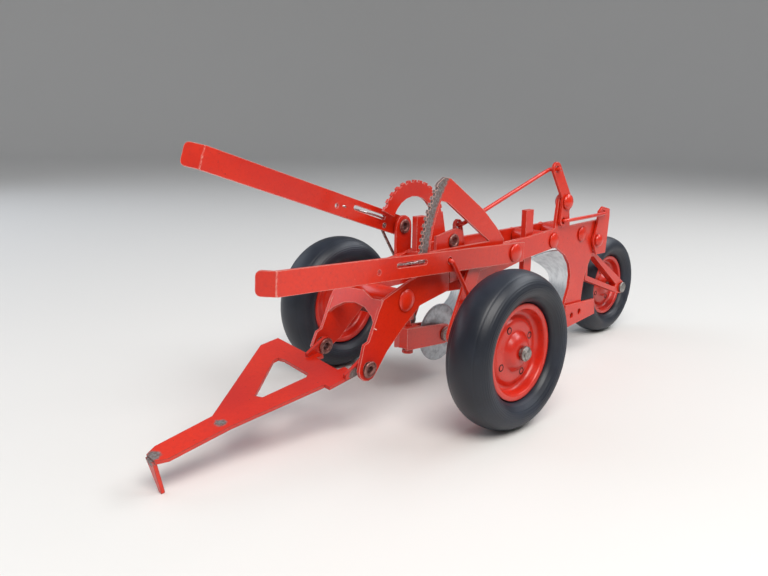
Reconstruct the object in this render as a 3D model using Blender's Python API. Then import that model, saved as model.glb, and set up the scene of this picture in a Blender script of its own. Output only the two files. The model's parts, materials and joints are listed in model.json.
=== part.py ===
"""A trailed two-furrow toy plough in pressed steel, at its real size.

+X points forwards, towards the drawbar, +Y to the plough's left and +Z up.
The origin is under the middle of the whole plough, on the table it stands on.
Sizes are written in millimetres and turned into Blender's metres by MM.
"""
import math

import bpy
import bmesh
import numpy as np
from mathutils import Euler, Matrix, Vector
from mathutils.geometry import tessellate_polygon

MM = 0.001                      # one millimetre in metres

# ---- where things are, measured from the land wheel's contact with the table -------------------
MIDDLE = (-25.94, -46.50)       # the plough's middle, x and y, seen from above
LAND_WHEEL = (0.0, 0.0, 28.0)
FURROW_WHEEL = (-5.9, -93.0, 28.0)
TAIL_WHEEL = (-141.7, -44.0, 24.3)
FRONT_WHEEL_RADIUS = 28.0
TAIL_WHEEL_RADIUS = 24.3

SHEET = 1.2                     # thickness of the pressed sheet
BEAM_SHEET = 1.4
LEFT_PLATE_Y = -27.2            # middle planes of the upright plates, left to right
LEFT_BEAM_Y = -28.8
RIGHT_BEAM_Y = -48.8
RIGHT_PLATE_Y = -50.4
LEFT_LEVER_Y = -23.0
RIGHT_LEVER_Y = -54.8
LAND_LINK_Y = -21.3
FURROW_LINK_Y = -56.8
LAND_CRANK_Y = -24.8
FURROW_CRANK_Y = -52.2
LIFT_ARM_Y = -32.0

LEFT_LEVER_PIVOT = (-33.5, 55.0)
RIGHT_LEVER_PIVOT = (-2.0, 65.0)
RIGHT_QUADRANT_CENTRE = (-5.0, 64.6)
LEFT_LEVER_SLOPE = 2.0          # degrees
RIGHT_LEVER_SLOPE = 17.8
LAND_HOOK = (6.1, 56.8)         # where the land wheel's link hangs from the left lever
FURROW_HOOK = (6.4, 65.8)
LAND_CRANK_PIVOT = (-12.0, 53.5)
FURROW_CRANK_PIVOT = (-18.0, 52.0)
LAND_CRANK_PIN = (-6.3, 39.3)
FURROW_CRANK_PIN = (-12.3, 38.0)
LIFT_HOOK = (-9.4, 67.0)
ROCKER_PIVOT = (-76.5, 71.5)
ROCKER_TOP = (-67.3, 85.6)
ROCKER_LUG = (-74.5, 63.7)
TAIL_PIVOT = (-105.1, 52.3)
TAIL_LUG = (-108.8, 64.4)

LEFT_EAR = (41.7, 24.2)         # drawbar hinge holes, x and z
RIGHT_EAR = (41.7, 27.9)
DRAWBAR_SLOPE = 11.3            # degrees down towards the front
COULTER_PITCH = (51.1, -14.0)   # from the rear coulter to the front one
BOTTOM_PITCH = (51.0, -20.0)    # from the rear plough bottom to the front one

RUN = 0.3                       # gap between neighbouring pieces
PIN_RADIUS = 1.6
HOLE_RADIUS = 2.1
RIVET_SHANK = 1.9
RIVET_HOLE = 2.4
RIVET_HEAD = 3.2

RED = (0.62, 0.035, 0.02)
SILVER = (0.55, 0.58, 0.60)
STEEL = (0.30, 0.31, 0.33)
RUBBER = (0.018, 0.022, 0.035)

# ---- the stage ------------------------------------------------------------------------------------
for old in list(bpy.data.objects):
    bpy.data.objects.remove(old, do_unlink=True)

collection = bpy.context.scene.collection
pivots = {}


def pivot_empty(name, at, parent="plough"):
    """An empty on a joint's axis; `at` is in millimetres from the land wheel's contact."""
    empty = bpy.data.objects.new(name, None)
    collection.objects.link(empty)
    if name == "plough":
        empty.location = Vector((-MIDDLE[0], -MIDDLE[1], 0.0)) * MM
        pivots[name] = (empty, Vector((0.0, 0.0, 0.0)))
        return empty
    holder, held_at = pivots[parent]
    empty.parent = holder
    empty.location = (Vector(at) - held_at) * MM
    pivots[name] = (empty, Vector(at))
    return empty


def finish_mesh(name, verts, faces, smooth=False):
    """A mesh in metres with its faces pointing outwards."""
    mesh = bpy.data.meshes.new(name)
    mesh.from_pydata([tuple(float(c) * MM for c in v) for v in verts], [], faces)
    work = bmesh.new()
    work.from_mesh(mesh)
    bmesh.ops.recalc_face_normals(work, faces=work.faces)
    work.to_mesh(mesh)
    work.free()
    if smooth:
        mesh.shade_smooth()
        mesh.set_sharp_from_angle(angle=math.radians(35))
    return mesh


def material(name, colour, roughness, metallic):
    made = bpy.data.materials.new(name)
    made.use_nodes = True
    shader = made.node_tree.nodes["Principled BSDF"]
    shader.inputs["Base Color"].default_value = (*colour, 1.0)
    shader.inputs["Roughness"].default_value = roughness
    shader.inputs["Metallic"].default_value = metallic
    return made


def put(name, mesh, at, on="plough", finish="enamel", turn=(0.0, 0.0, 0.0)):
    """Place a piece with its origin at `at`, turned by `turn` degrees, under the empty `on`."""
    colour, roughness, metallic = FINISHES[finish]
    piece = bpy.data.objects.new(name, mesh)
    collection.objects.link(piece)
    mesh.materials.append(material(name, colour, roughness, metallic))
    holder, held_at = pivots[on]
    piece.parent = holder
    piece.location = (Vector(at) - held_at) * MM
    piece.rotation_euler = Euler([math.radians(a) for a in turn])
    return piece


FINISHES = {"enamel": (RED, 0.35, 0.0), "silver": (SILVER, 0.35, 0.9),
            "steel": (STEEL, 0.4, 0.9), "rubber": (RUBBER, 0.6, 0.0)}


# ---- outlines -----------------------------------------------------------------------------------
def arc(centre, radius, start, end, steps):
    """Points on a circle's arc from `start` to `end` degrees, both ends included."""
    turn = np.radians(np.linspace(start, end, steps + 1))
    return [(centre[0] + radius * math.cos(t), centre[1] + radius * math.sin(t)) for t in turn]


def circle(centre, radius, steps=12):
    return arc(centre, radius, 0.0, 360.0, steps)[:-1]


def shifted(points, dx, dz=0.0):
    return [(x + dx, z + dz) for x, z in points]


# ---- solids -------------------------------------------------------------------------------------
def prism(name, outline, thickness, holes=(), plane="XZ", about=(0.0, 0.0), smooth=True):
    """A flat plate: the outline, less its holes, made `thickness` thick across its plane."""
    loops = [list(outline)] + [circle(h[:2], h[2]) if len(h) == 3 else list(h[0]) for h in holes]
    flat = [[Vector((a - about[0], b - about[1], 0.0)) for a, b in loop] for loop in loops]
    triangles = tessellate_polygon(flat)
    points = [p for loop in flat for p in loop]
    count = len(points)
    spread = {"XZ": lambda p, d: (p.x, d, p.y), "XY": lambda p, d: (p.x, p.y, d),
              "YZ": lambda p, d: (d, p.x, p.y)}[plane]
    verts = [spread(p, -thickness / 2) for p in points] + [spread(p, thickness / 2) for p in points]
    faces = [tuple(t) for t in triangles] + [tuple(i + count for i in reversed(t)) for t in triangles]
    start = 0
    for loop in flat:
        size = len(loop)
        for i in range(size):
            a = start + i
            b = start + (i + 1) % size
            faces.append((a, b, b + count, a + count))
        start += size
    return finish_mesh(name, verts, faces, smooth)


def turned(name, profile, sides=16, smooth=True):
    """A closed profile of (radius, distance along Y) points, turned about the Y axis."""
    verts = []
    rings = []
    for radius, along in profile:
        if radius < 1e-6:
            rings.append([len(verts)] * sides)
            verts.append((0.0, along, 0.0))
            continue
        rings.append(list(range(len(verts), len(verts) + sides)))
        for i in range(sides):
            t = 2 * math.pi * i / sides
            verts.append((radius * math.cos(t), along, radius * math.sin(t)))
    faces = []
    for here, after in zip(rings, rings[1:] + rings[:1]):
        if here[0] == here[1] and after[0] == after[1]:
            continue
        for i in range(sides):
            j = (i + 1) % sides
            corner = []
            for v in (here[i], here[j], after[j], after[i]):
                if v not in corner:
                    corner.append(v)
            faces.append(tuple(corner))
    return finish_mesh(name, verts, faces, smooth)


def rod(name, points, radius, sides=8, end_radius=None):
    """A round rod through `points`, with a ring square to the path at each of them."""
    path = np.array(points, float)
    along = np.gradient(path, axis=0)
    along /= np.linalg.norm(along, axis=1)[:, None]
    side = np.cross(along[0], (0.31, 0.17, 0.93))
    side /= np.linalg.norm(side)
    verts = []
    last = len(path) - 1
    for i, (centre, ahead) in enumerate(zip(path, along)):
        side = side - ahead * side.dot(ahead)
        side /= np.linalg.norm(side)
        up = np.cross(ahead, side)
        size = end_radius if end_radius and i == last else radius
        for k in range(sides):
            t = 2 * math.pi * k / sides
            verts.append(centre + size * (side * math.cos(t) + up * math.sin(t)))
    faces = [tuple(range(sides)), tuple(range(last * sides, (last + 1) * sides))]
    for i in range(last):
        for k in range(sides):
            n = (k + 1) % sides
            faces.append((i * sides + k, i * sides + n, (i + 1) * sides + n, (i + 1) * sides + k))
    return finish_mesh(name, verts, faces, smooth=True)


def curved_sheet(name, surface, thickness):
    """A sheet of even thickness on a grid of points, closed round its edges."""
    du = np.gradient(surface, axis=0)
    dv = np.gradient(surface, axis=1)
    normal = np.cross(du, dv)
    normal /= np.linalg.norm(normal, axis=2)[:, :, None]
    rows, columns = surface.shape[:2]
    verts = np.concatenate([(surface + normal * thickness / 2).reshape(-1, 3),
                            (surface - normal * thickness / 2).reshape(-1, 3)])
    under = rows * columns

    def at(i, j):
        return i * columns + j

    faces = []
    for i in range(rows - 1):
        for j in range(columns - 1):
            quad = (at(i, j), at(i + 1, j), at(i + 1, j + 1), at(i, j + 1))
            faces.append(quad)
            faces.append(tuple(v + under for v in reversed(quad)))
    edge = [at(i, 0) for i in range(rows)] + [at(rows - 1, j) for j in range(1, columns)]
    edge += [at(i, columns - 1) for i in range(rows - 2, -1, -1)]
    edge += [at(0, j) for j in range(columns - 2, 0, -1)]
    for a, b in zip(edge, edge[1:] + edge[:1]):
        faces.append((a, b, b + under, a + under))
    return finish_mesh(name, verts, faces, smooth=True)


def weld(piece, mesh, at, on="plough", turn=(0.0, 0.0, 0.0), operation="UNION"):
    """Join a further solid to a piece, or cut it away; the helper itself is only a guide."""
    helper = bpy.data.objects.new(piece.name + "_guide", mesh)
    collection.objects.link(helper)
    holder, held_at = pivots[on]
    helper.parent = holder
    helper.location = (Vector(at) - held_at) * MM
    helper.rotation_euler = Euler([math.radians(a) for a in turn])
    helper.hide_render = True
    helper.display_type = "WIRE"
    join = piece.modifiers.new("weld", "BOOLEAN")
    join.operation = operation
    join.object = helper
    join.solver = "EXACT"


def rivet_profile(length, head=RIVET_HEAD, dome=1.3, shank=RIVET_SHANK, far_head=None):
    """A solid rivet with domed heads; `length` is the grip between the heads, centred on Y = 0."""
    far = head if far_head is None else far_head
    half = length / 2
    dome_out = [(0.0, half + dome), (head * 0.55, half + dome * 0.8), (head * 0.9, half + dome * 0.4), (head, half)]
    dome_in = [(far, -half), (far * 0.9, -half - dome * 0.4), (far * 0.55, -half - dome * 0.8), (0.0, -half - dome)]
    return dome_out + [(shank, half), (shank, -half)] + dome_in


def eyelet_profile(length, head=2.8, bore=1.3, shank=RIVET_SHANK, lip=0.6):
    """A hollow rivet with a rolled lip at each end."""
    half = length / 2
    return [(bore, half + lip * 0.4), (bore + 0.5, half + lip), (head - 0.4, half + lip), (head, half + 0.05),
            (shank, half + 0.05), (shank, -half - 0.05), (head, -half - 0.05), (head - 0.4, -half - lip),
            (bore + 0.5, -half - lip), (bore, -half - lip * 0.4)]


def stepped_profile(steps):
    """A stepped shaft from (radius, start, end) lengths laid end to end along Y."""
    outline = [(0.0, steps[0][1])]
    for radius, start, end in steps:
        outline += [(radius, start), (radius, end)]
    return outline + [(0.0, steps[-1][2])]


# ---- the empties, one on every joint's axis --------------------------------------------------------
ear_rise = math.degrees(math.atan2(RIGHT_EAR[1] - LEFT_EAR[1], LEFT_PLATE_Y - RIGHT_PLATE_Y))
EAR_MIDDLE = (LEFT_EAR[0], (LEFT_PLATE_Y + RIGHT_PLATE_Y) / 2, (LEFT_EAR[1] + RIGHT_EAR[1]) / 2)
REAR_COULTER_PIN = (-49.6, -31.5)
FRONT_COULTER_PIN = (REAR_COULTER_PIN[0] + COULTER_PITCH[0], REAR_COULTER_PIN[1] + COULTER_PITCH[1])
DISC_BEHIND_PIN = 18.0
DISC_HEIGHT = 22.0

pivot_empty("plough", (0.0, 0.0, 0.0))
pivot_empty("left_lever_axis", (LEFT_LEVER_PIVOT[0], LEFT_LEVER_Y, LEFT_LEVER_PIVOT[1]))
pivot_empty("right_lever_axis", (RIGHT_LEVER_PIVOT[0], RIGHT_LEVER_Y, RIGHT_LEVER_PIVOT[1]))
pivot_empty("land_link_axis", (LAND_HOOK[0], LAND_LINK_Y, LAND_HOOK[1]), "left_lever_axis")
pivot_empty("furrow_link_axis", (FURROW_HOOK[0], FURROW_LINK_Y, FURROW_HOOK[1]), "right_lever_axis")
pivot_empty("land_crank_axis", (LAND_CRANK_PIVOT[0], LAND_CRANK_Y, LAND_CRANK_PIVOT[1]))
pivot_empty("furrow_crank_axis", (FURROW_CRANK_PIVOT[0], FURROW_CRANK_Y, FURROW_CRANK_PIVOT[1]))
pivot_empty("land_wheel_axis", LAND_WHEEL, "land_crank_axis")
pivot_empty("furrow_wheel_axis", FURROW_WHEEL, "furrow_crank_axis")
pivot_empty("lift_rod_axis", (LIFT_HOOK[0], LIFT_ARM_Y, LIFT_HOOK[1]), "land_crank_axis")
pivot_empty("rocker_axis", (ROCKER_PIVOT[0], LEFT_PLATE_Y, ROCKER_PIVOT[1]))
pivot_empty("tail_rod_axis", (ROCKER_LUG[0], LEFT_PLATE_Y, ROCKER_LUG[1]), "rocker_axis")
pivot_empty("tail_bracket_axis", (TAIL_PIVOT[0], LEFT_PLATE_Y, TAIL_PIVOT[1]))
pivot_empty("tail_wheel_axis", TAIL_WHEEL, "tail_bracket_axis")
for end, pin in (("front", FRONT_COULTER_PIN), ("rear", REAR_COULTER_PIN)):
    pivot_empty(end + "_coulter_axis", (pin[0], pin[1], DISC_HEIGHT))
    pivot_empty(end + "_disc_axis", (pin[0] - DISC_BEHIND_PIN, pin[1], DISC_HEIGHT), end + "_coulter_axis")
hinge = pivot_empty("drawbar_axis", EAR_MIDDLE)
hinge.rotation_euler = (Matrix.Rotation(-math.radians(ear_rise), 3, "X")
                        @ Matrix.Rotation(math.radians(DRAWBAR_SLOPE), 3, "Y")).to_euler()


# ---- the front yoke -----------------------------------------------------------------------------
YOKE_REAR = 1.2
CROSS_RIVET = (24.0, 44.6)
CROSS_RIVET_BACK = (6.0, 48.8)


def side_plate(name, ear):
    """One side of the yoke: an ear for the drawbar, a leg and a long tail along the beam."""
    eye = arc(ear, 4.3, -150.0, -5.0, 5)
    front = [(43.6, 32.4), (41.4, 33.2), (36.8, 43.2), (34.8, 46.4)]
    top = [(22.1, 51.0), (8.0, 54.2), (YOKE_REAR, 55.2)]
    under = [(YOKE_REAR, 44.7), (10.3, 42.9), (16.5, 41.6), (26.0, 34.4), (33.0, 28.2)]
    outline = eye + front + top + under
    return prism(name, outline, SHEET, holes=[(*ear, RIVET_HOLE), (*CROSS_RIVET, RIVET_HOLE)], about=ear)


def front_yoke():
    """Both side plates and the arched web across the front, folded from one sheet."""
    left = side_plate("yoke_left", LEFT_EAR)
    yoke = put("front_yoke", left, (LEFT_EAR[0], LEFT_PLATE_Y, LEFT_EAR[1]))
    right = side_plate("yoke_right", RIGHT_EAR)
    weld(yoke, right, (RIGHT_EAR[0], RIGHT_PLATE_Y, RIGHT_EAR[1]))
    middle = (LEFT_PLATE_Y + RIGHT_PLATE_Y) / 2
    half = (LEFT_PLATE_Y - RIGHT_PLATE_Y) / 2 + 0.2
    arch = arc((0.0, -13.5), 14.5, 150.0, 30.0, 6)
    top = [(half, 3.8), (half - 5.0, 3.6), (2.0, 5.8), (-half + 3.0, 5.4), (-half, 4.6)]
    web = prism("yoke_web", [(-half, -5.4)] + arch + [(half, -5.4)] + top, SHEET, plane="YZ")
    weld(yoke, web, (36.2, middle, 42.6), turn=(0.0, -25.0, 0.0))


# ---- the two beams, each with its standard -----------------------------------------------------------
LEG = [(-102.6, 44.2), (-99.1, 39.1), (-97.3, 33.0), (-96.4, 27.5), (-96.4, 17.4),
       (-82.6, 15.6), (-81.6, 22.0), (-82.9, 27.5), (-85.2, 33.0), (-85.8, 38.5), (-84.2, 43.5), (-80.2, 48.0)]
LANDSIDE = [(-81.6, 15.0), (-81.2, 25.6), (-106.0, 24.8), (-107.0, 17.6)]
FOOT_RIVETS = [(-86.5, 20.2), (-93.0, 21.0)]
MID_TUBE = (-70.0, 55.5)
REAR_TUBE = (-93.0, 56.0)
TUBE_HOLES = [(*MID_TUBE, RIVET_HOLE), (*REAR_TUBE, RIVET_HOLE)]


def left_beam():
    """The left beam sweeps up at the back into the rear standard and the rocker's ear."""
    rear = [(-108.5, 61.4), (-108.5, 51.0), (-106.5, 48.8), (-103.6, 47.4)]
    under = [(-72.5, 52.4), (-50.5, 50.2), (-30.0, 46.6), (-15.0, 43.0), (0.0, 43.9), (12.0, 43.6)]
    front = [(18.0, 44.2), (18.0, 51.2)]
    top = [(1.4, 56.2), (-15.0, 57.4), (-50.0, 58.8), (-70.6, 60.4)]
    ear = arc(ROCKER_PIVOT, 4.2, 20.0, 160.0, 6)
    back = [(-82.4, 60.6), (-95.0, 61.0)]
    outline = rear + LEG + under + front + top + ear + back
    holes = [(*CROSS_RIVET_BACK, RIVET_HOLE), (*LEFT_LEVER_PIVOT, RIVET_HOLE)]
    holes += [(*LAND_CRANK_PIVOT, HOLE_RADIUS),
             (*ROCKER_PIVOT, RIVET_HOLE), (*TAIL_PIVOT, RIVET_HOLE)] + TUBE_HOLES
    holes += [(x, z, 1.4) for x, z in FOOT_RIVETS]
    mesh = prism("left_beam", outline, BEAM_SHEET, holes=holes, about=(0.0, 50.0))
    put("left_beam", mesh, (0.0, LEFT_BEAM_Y, 50.0))


def right_beam():
    """The right beam carries the front standard and runs back to the tail."""
    dx = BOTTOM_PITCH[0]
    leg = shifted(LEG, dx)
    rear = [(-111.0, 59.2), (-111.0, 51.6), (-80.0, 50.4), (-56.0, 49.6)]
    under = [(-25.0, 50.6), (-15.0, 45.4), (0.0, 43.9), (12.0, 43.6)]
    front = [(18.0, 44.2), (18.0, 51.2)]
    top = [(1.4, 55.6), (-10.0, 58.2), (-60.0, 58.8)]
    outline = rear + leg + under + front + top
    holes = [(*CROSS_RIVET_BACK, RIVET_HOLE), (*FURROW_CRANK_PIVOT, HOLE_RADIUS)] + TUBE_HOLES
    holes += [(x + dx, z, 1.4) for x, z in FOOT_RIVETS]
    mesh = prism("right_beam", outline, BEAM_SHEET, holes=holes, about=(0.0, 50.0))
    put("right_beam", mesh, (0.0, RIGHT_BEAM_Y, 50.0))


def cross_tubes():
    """Riveted spacers that hold the two sides apart."""
    across = (LEFT_PLATE_Y + RIGHT_PLATE_Y) / 2
    outer = LEFT_PLATE_Y + SHEET / 2 - across
    tube = LEFT_BEAM_Y - BEAM_SHEET / 2 - across
    inner = LEFT_PLATE_Y - SHEET / 2 - across

    def spacer(grip, body, head, thick=3.4):
        return [(0.0, grip + 1.5), (head * 0.55, grip + 1.3), (head * 0.9, grip + 0.8), (head, grip + RUN),
                (RIVET_SHANK, grip + RUN), (RIVET_SHANK, body - RUN), (thick, body - RUN),
                (thick, RUN - body), (RIVET_SHANK, RUN - body), (RIVET_SHANK, -grip - RUN), (head, -grip - RUN),
                (head * 0.9, -grip - 0.8), (head * 0.55, -grip - 1.3), (0.0, -grip - 1.5)]

    put("front_cross_tube", turned("front_tube", spacer(outer, inner, 3.9), 12),
        (CROSS_RIVET[0], across, CROSS_RIVET[1]))
    beam_outer = LEFT_BEAM_Y + BEAM_SHEET / 2 - across
    for name, at in (("mid_cross_tube", MID_TUBE), ("rear_cross_tube", REAR_TUBE)):
        put(name, turned(name, spacer(beam_outer, tube, 3.0), 12), (at[0], across, at[1]))


# ---- plough bottoms -----------------------------------------------------------------------------
def landside(name, dx, y):
    plate = prism(name, shifted(LANDSIDE, dx), SHEET, holes=[(x + dx, z, 1.4) for x, z in FOOT_RIVETS],
                  about=(dx - 90.0, 20.0))
    put(name, plate, (dx - 90.0, y, 20.0))


def mouldboard(name, dx, y0):
    """A twisted sheet: the shin curls forward at its top and foot, the wing sweeps back to the right."""
    u = np.linspace(0.0, 1.0, 9)[:, None]
    v = np.linspace(0.0, 1.0, 8)[None, :]
    shin = -92.6 + 11.5 * (2 * v - 1.05) ** 2 + 0.6 * v
    x = shin - 21.0 * u + 5.0 * u * v
    y = -1.6 - 22.0 * u - 4.0 * u * v * v
    z = 16.6 + 4.0 * u + (33.0 - 9.0 * u - 4.0 * u * u) * v
    grid = np.stack([x + dx + 90.0, y + 0.0 * v, z - 30.0 + 0.0 * u], axis=2)
    sheet = curved_sheet(name, grid, 1.0)
    put(name, sheet, (-90.0, y0, 30.0), finish="silver")


def share(name, dx, y0):
    """The cutting share under the mouldboard, from its point back to the right."""
    u = np.linspace(0.0, 1.0, 7)[:, None]
    v = np.linspace(0.0, 1.0, 3)[None, :]
    x = -79.0 - 25.0 * u - 3.6 * v
    y = -1.6 - 22.5 * u + 0.0 * v
    z = 11.6 + 1.6 * u + (3.7 + 1.4 * u) * v
    sheet = curved_sheet(name, np.stack([x + dx + 90.0, y, z - 14.0], axis=2), 1.0)
    put(name, sheet, (-90.0, y0, 14.0), finish="silver")


def bottoms():
    inner = LEFT_BEAM_Y - BEAM_SHEET / 2
    dx = BOTTOM_PITCH[0]
    landside("rear_landside", 0.0, LEFT_BEAM_Y + BEAM_SHEET / 2 + RUN + SHEET / 2)
    landside("front_landside", dx, RIGHT_BEAM_Y + BEAM_SHEET / 2 + RUN + SHEET / 2)
    for end, shift, y in (("rear", 0.0, inner), ("front", dx, inner + BOTTOM_PITCH[1])):
        mouldboard(end + "_mouldboard", shift, y)
        share(end + "_share", shift, y)


# ---- rolling coulters -----------------------------------------------------------------------------
POST_TOP = 69.4
POST_BACK = 5.0                 # how far the post stands behind the swivel pin
POST_WIDTH = 5.2
FORK_TOP = 27.8
FORK_FOOT = 20.0


def coulter(end, pin):
    """A bent post, a fork that swivels on its foot, and a disc on a hollow rivet."""
    x, y = pin
    back = -POST_BACK
    half = POST_WIDTH / 2
    post = [(back - half, POST_TOP), (back - half, 41.0), (-half + 0.8, 34.0), (-half + 0.8, 30.2),
            (half - 0.8, 30.2), (half - 0.8, 35.4), (back + half, 42.4), (back + half, POST_TOP)]
    shank = put(end + "_coulter_post", prism(end + "_post", post, 2.4, about=(0.0, 30.0)), (x, y, 30.0))
    foot = [(0.0, 31.0), (1.1, 31.0), (1.1, 18.4), (2.2, 18.4), (2.2, 17.2), (0.0, 17.2)]
    foot_mesh = turned(end + "_foot", [(r, h - 24.0) for r, h in foot], 10)
    weld(shank, foot_mesh, (x, y, 24.0), turn=(90.0, 0.0, 0.0))

    axis = end + "_coulter_axis"
    outline = [(4.0, FORK_FOOT - 0.6), (4.0, FORK_TOP)]
    outline += arc((-DISC_BEHIND_PIN, DISC_HEIGHT), 4.0, 90.0, 270.0, 7)
    hole = (-DISC_BEHIND_PIN, DISC_HEIGHT, RIVET_HOLE)
    fork = put(end + "_coulter_fork", prism(end + "_fork", outline, 1.0, holes=[hole], about=(0.0, DISC_HEIGHT)),
               (x, y + 2.9, DISC_HEIGHT), on=axis)
    weld(fork, prism(end + "_fork_far", outline, 1.0, holes=[hole], about=(0.0, DISC_HEIGHT)),
         (x, y - 2.9, DISC_HEIGHT), on=axis)
    height = FORK_TOP - FORK_FOOT
    collar = prism(end + "_collar", [(-3.4, -3.1), (3.9, -3.1), (4.8, 0.0), (3.9, 3.1), (-3.4, 3.1)],
                   height, holes=[(0.0, 0.0, 1.55)], plane="XY")
    weld(fork, collar, (x, y, FORK_TOP - height / 2), on=axis)
    put(end + "_coulter_rivet", turned(end + "_rivet", eyelet_profile(6.8 + 2 * RUN, head=2.9), 12),
        (x - DISC_BEHIND_PIN, y, DISC_HEIGHT), on=axis, finish="steel")
    disc = [(2.3, -0.8), (3.6, -0.8), (4.6, -0.45), (10.2, -0.45), (11.5, -0.1), (11.5, 0.1), (10.2, 0.45),
            (4.6, 0.45), (3.6, 0.8), (2.3, 0.8)]
    put(end + "_coulter_disc", turned(end + "_disc", disc, 28), (x - DISC_BEHIND_PIN, y, DISC_HEIGHT),
        on=end + "_disc_axis", finish="steel")


def coulter_clamp(end, pin, beam_y, towards):
    """A strap over the post, riveted to the beam beside it."""
    x = pin[0] - POST_BACK
    y_beam = beam_y - towards * (BEAM_SHEET / 2 + RUN)
    y_post = pin[1]
    gap_half = POST_WIDTH / 2 + RUN
    inner = 1.2 + RUN
    depth = abs(y_post - y_beam)
    near = towards * depth
    outline = [(-gap_half - 1.2, near), (-gap_half - 1.2, -towards * (inner + 1.2)),
               (gap_half + 1.2, -towards * (inner + 1.2)), (gap_half + 1.2, near), (gap_half, near),
               (gap_half, -towards * inner), (-gap_half, -towards * inner), (-gap_half, near)]
    put(end + "_coulter_clamp", prism(end + "_clamp", outline, 4.0, plane="XY"), (x, y_post, 54.6))


# ---- levers -------------------------------------------------------------------------------------
LEVER_HALF = 3.8
GRIP_LENGTH = 5.9               # the flat end that the hand pushes
GRIP_TURN = 50.0                # degrees the end is bent towards the plough's right


def lever(name, axis, pivot, y, slope, reach, slot, bend_back, hook, hook_hole):
    """A flat bar with a pivot eye, a slot for its latch wire and a curled hand grip."""
    eye = [(-6.0, -LEVER_HALF), (-6.0, LEVER_HALF)] if bend_back else arc((0.0, 0.0), LEVER_HALF, 270.0, 90.0, 6)
    outline = eye + [(reach, LEVER_HALF), (reach, -LEVER_HALF)]
    opening = arc((slot[1], 0.9), 0.9, -90.0, 90.0, 3) + arc((slot[0], 0.9), 0.9, 90.0, 270.0, 3)
    slope_turn = math.radians(slope)
    dx = hook[0] - pivot[0]
    dz = hook[1] - pivot[1]
    hook_at = (dx * math.cos(slope_turn) + dz * math.sin(slope_turn),
               dz * math.cos(slope_turn) - dx * math.sin(slope_turn))
    holes = [(0.0, 0.0, RIVET_HOLE), (*hook_at, hook_hole), (opening,), (slot[1] + 9.0, -0.6, 0.9)]
    at = (pivot[0], y, pivot[1])
    bar = put(name, prism(name, outline, SHEET, holes=holes), at, on=axis, turn=(0.0, -slope, 0.0))
    to_bend = Matrix.Translation((reach * MM, 0.0, 0.0))
    bend = prism(name + "_bend", circle((0.0, 0.0), SHEET / 2, 10), 2 * LEVER_HALF - 0.4, plane="XY")
    bend.transform(to_bend)
    weld(bar, bend, at, on=axis, turn=(0.0, -slope, 0.0))
    high = LEVER_HALF - 0.05
    ends = arc((GRIP_LENGTH - 1.6, 1.6 - high), 1.6, -90.0, 0.0, 3) + arc((GRIP_LENGTH - 1.6, high - 1.6), 1.6, 0.0, 90.0, 3)
    grip = prism(name + "_grip", [(-0.15, -high)] + ends + [(-0.15, high)], SHEET)
    grip.transform(to_bend @ Matrix.Rotation(math.radians(-GRIP_TURN), 4, "Z"))
    weld(bar, grip, at, on=axis, turn=(0.0, -slope, 0.0))


def latch_wire(name, axis, pivot, y, slope, slot):
    """A thin spring wire behind the bar, seen through its slot, with its end turned out through a hole."""
    depth = -1.35
    low = 0.9
    reach = slot[1] + 9.0
    points = [(slot[0] - 2.5, depth, low), (slot[0] + 2.0, depth + 0.1, low), (slot[1] - 2.0, depth + 0.1, low),
              (slot[1] + 3.0, depth, 0.3), (reach - 1.0, depth, -0.5), (reach - 0.15, depth + 0.3, -0.6),
              (reach, depth + 1.1, -0.6), (reach, 1.5, -0.6)]
    mesh = rod(name, points, 0.42, sides=6)
    put(name, mesh, (pivot[0], y, pivot[1]), on=axis, finish="steel", turn=(0.0, -slope, 0.0))


def levers():
    lever("left_lever", "left_lever_axis", LEFT_LEVER_PIVOT, LEFT_LEVER_Y, LEFT_LEVER_SLOPE, 116.0,
          (52.5, 66.0), True, LAND_HOOK, 1.3)
    latch_wire("left_latch_wire", "left_lever_axis", LEFT_LEVER_PIVOT, LEFT_LEVER_Y, LEFT_LEVER_SLOPE, (52.5, 66.0))
    lever("right_lever", "right_lever_axis", RIGHT_LEVER_PIVOT, RIGHT_LEVER_Y, RIGHT_LEVER_SLOPE, 91.0,
          (9.5, 25.0), False, FURROW_HOOK, 1.0)
    latch_wire("right_latch_wire", "right_lever_axis", RIGHT_LEVER_PIVOT, RIGHT_LEVER_Y, RIGHT_LEVER_SLOPE,
               (9.5, 25.0))


# ---- quadrants and the lever pivots -----------------------------------------------------------------
def notched_arc(centre, outer, depth, start, end, teeth):
    """An arc with evenly spaced square notches cut into it."""
    points = []
    step = (end - start) / (2 * teeth + 1)
    for i in range(2 * teeth + 1):
        radius = outer if i % 2 == 0 else outer - depth
        a = start + i * step
        points += arc(centre, radius, a, a + step * 0.999, 1)
    return points


def left_quadrant():
    """A sector: a notched front arc centred on the lever's pivot, a rear leg and a low chord."""
    pivot = LEFT_LEVER_PIVOT
    outer = notched_arc(pivot, 50.8, 0.8, 1.6, 34.0, 11)
    apex = [(5.2, 85.4), (1.8, 84.8)]
    rear = [(-18.0, 72.4), (-26.6, 65.2), (-31.5, 60.2)]
    base = [(-31.5, 58.6), (-27.0, 54.2), (-27.0, 50.6), (-10.0, 48.8), (0.6, 47.4), (0.6, 56.6)]
    inside = arc(pivot, 46.0, 6.0, 29.0, 6) + [(2.8, 76.4), (-22.4, 60.2)]
    crank_clear = arc(LAND_CRANK_PIVOT, 3.2, 0.0, 360.0, 10)[:-1]
    holes = [(inside,), (crank_clear,)]
    mesh = prism("left_quadrant", outer + apex + rear + base, SHEET, holes=holes, about=pivot)
    put("left_quadrant", mesh, (pivot[0], LEFT_PLATE_Y, pivot[1]))


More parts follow.
